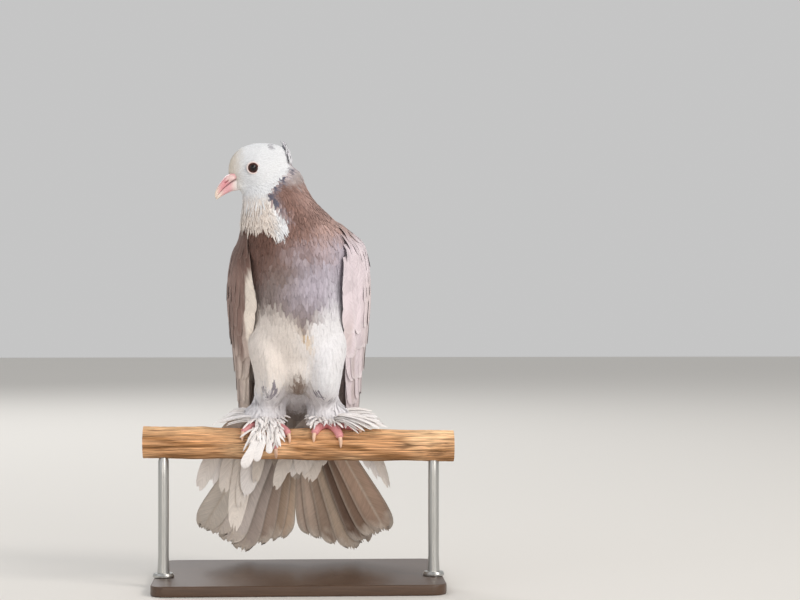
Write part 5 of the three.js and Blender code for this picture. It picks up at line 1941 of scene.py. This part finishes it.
def makePerch():
    half = branch["length"] / 2
    draw = np.random.default_rng(91)
    grooves = draw.uniform(0, 2 * math.pi, len(barkSettings["furrows"]))

    def place(t, angle, roundness):
        x = -half + branch["length"] * np.clip((t - 0.05) / 0.9, 0, 1)
        edge = np.minimum(1, np.minimum(t, 1 - t) / 0.045)
        swell = 1 + 0.02 * np.sin(x / 19) + 0.015 * np.sin(x / 7.3)
        wander = angle + 0.12 * np.sin(x / 31) + 0.05 * np.sin(x / 11)
        grain = sum(
            np.sin(wander * n + phase + 0.02 * n * np.sin(x / 17))
            for n, phase in zip(barkSettings["furrows"], grooves)
        )
        depth = barkSettings["grain"] * grain / 2.6
        for knotX, knotTurn in barkSettings["knots"]:
            apart = np.hypot((x - knotX) / 6, (np.angle(np.exp(1j * (angle - knotTurn)))) / 0.45)
            depth = depth + 1.1 * np.exp(-(apart**2)) - 0.9 * np.exp(-((apart / 0.4) ** 2))
        radius = (branch["radius"] * swell + depth) * edge
        return np.stack([x, radius * np.sin(angle), radius * np.cos(angle) + branch["slope"] * x], -1)

    perch = loftedBall("perch_wood", barkSettings["around"], barkSettings["along"], place)
    points = inMillimetres(pointsOf(perch))
    x, y, z = points.T
    z = z - branch["slope"] * x
    radius, turn = np.hypot(y, z), np.arctan2(y, z)
    strands = ripple(np.stack([x / 16, 11 * np.sin(turn), 11 * np.cos(turn)], -1), 1.8, 92)
    cracks = ripple(np.stack([x / 22, 11 * np.sin(turn), 11 * np.cos(turn)], -1), 2.6, 94)
    patches = ripple(np.stack([x / 2.2, y, z], -1), 12, 93)
    tones = {key: linear(value) for key, value in barkShades.items()}
    colour = blend(tones["pale"][None, :], tones["brown"], ease(0.5 + 0.8 * strands))
    colour = blend(colour, tones["bare"], ease(0.1 + 0.9 * patches) * 0.75)
    crack = np.exp(-((cracks / 0.07) ** 2)) * ease(0.4 + patches) * 0.75
    colour = blend(colour, tones["crack"], crack)
    # painted light on the branch's top and painted shade on its underside
    colour = blend(colour, tones["top"], ease((z - 3) / 8) * (0.35 + 0.25 * strands))
    colour = blend(colour, tones["below"], ease((1 - z) / 14) * 0.4)
    sawn = np.abs(x) > half - 0.6
    rings = 0.5 + 0.5 * np.sin(radius * 4.4 + 0.6 * np.sin(3 * turn))
    ringed = mix(tones["sawn"], tones["ring"], rings[:, None])
    colour = blend(colour, ringed, sawn * (radius < 10.6) * 0.9)
    paint(perch, colour)
    useOnly(perch)
    bpy.ops.object.shade_smooth_by_angle(angle=math.radians(50))
    finishPiece(perch, barkWood, ("perch",))


def makeBase():
    low, high = (Vector(corner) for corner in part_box("stand_base"))
    deselectAll()
    bpy.ops.mesh.primitive_cube_add(size=1, location=(low + high) / 2, scale=high - low)
    bpy.ops.object.transform_apply(location=True, rotation=False, scale=True)
    base = bpy.context.object
    base.name = "stand_plate"
    bpy.ops.object.mode_set(mode="EDIT")
    bpy.ops.mesh.select_mode(type="EDGE")
    bpy.ops.mesh.select_all(action="DESELECT")
    bpy.ops.object.mode_set(mode="OBJECT")
    for edge in base.data.edges:
        a, b = (base.data.vertices[i].co for i in edge.vertices)
        edge.select = abs(a.z - b.z) > 0.001
    bpy.ops.object.mode_set(mode="EDIT")
    bpy.ops.mesh.bevel(offset=standSettings["corner"] * millimetre, segments=12, affect="EDGES")
    bpy.ops.object.mode_set(mode="OBJECT")
    width = standSettings["edge"] * millimetre
    applyModifier(base, "BEVEL", width=width, segments=4, limit_method="ANGLE")
    paint(base, linear(standSettings["wood"]))
    useOnly(base)
    bpy.ops.object.shade_smooth_by_angle(angle=math.radians(35))
    finishPiece(base, stainedWood, ("stand_base",))


def makeRod(name, x):
    # turned from its profile: a collar on the base, then the rod up into the branch
    foot, top = inMillimetres(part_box(name)[0])[2], -branch["radius"] + 4
    collar = [(0, 0), (7.8, 0), (8, 0.2), (8, 2), (7, 3), (4, 3)]
    profile = np.array([(r, foot + z) for r, z in collar] + [(4, top), (0, top)])
    steps = np.concatenate([[0], np.cumsum(np.linalg.norm(np.diff(profile, axis=0), axis=1))])
    steps = steps / steps[-1]
    spots = np.unique(np.concatenate([steps, np.linspace(0, 1, 9)]))

    def place(t, angle, _):
        at = np.interp(t, np.linspace(0, 1, len(spots)), spots)
        r, z = np.interp(at, steps, profile[:, 0]), np.interp(at, steps, profile[:, 1])
        return np.stack([x + r * np.sin(angle), r * np.cos(angle), z], -1)

    rod = loftedBall(name.replace("stand_", "stand_steel_"), 48, len(spots) - 1, place)
    paint(rod, linear(standSettings["steel"]))
    bpy.ops.object.shade_smooth_by_angle(angle=math.radians(35))
    finishPiece(rod, steel, (name,))


makePerch()
makeBase()
for name, side in flanks.items():
    makeRod("stand_rod_" + name, side * standSettings["rodX"])

deselectAll()
bpy.ops.mesh.primitive_plane_add(size=12)
floor = bpy.context.object
floor.name = "floor"
# floor: uncoated paper, even and without gloss
floorColour = (*linear(lightSettings["floor"]), 1)
floorPaper = newMaterial("pale paper floor", Base_Color=floorColour, Roughness=0.9)[0]
floor.data.materials.append(floorPaper)
print("branch, stand and floor made")
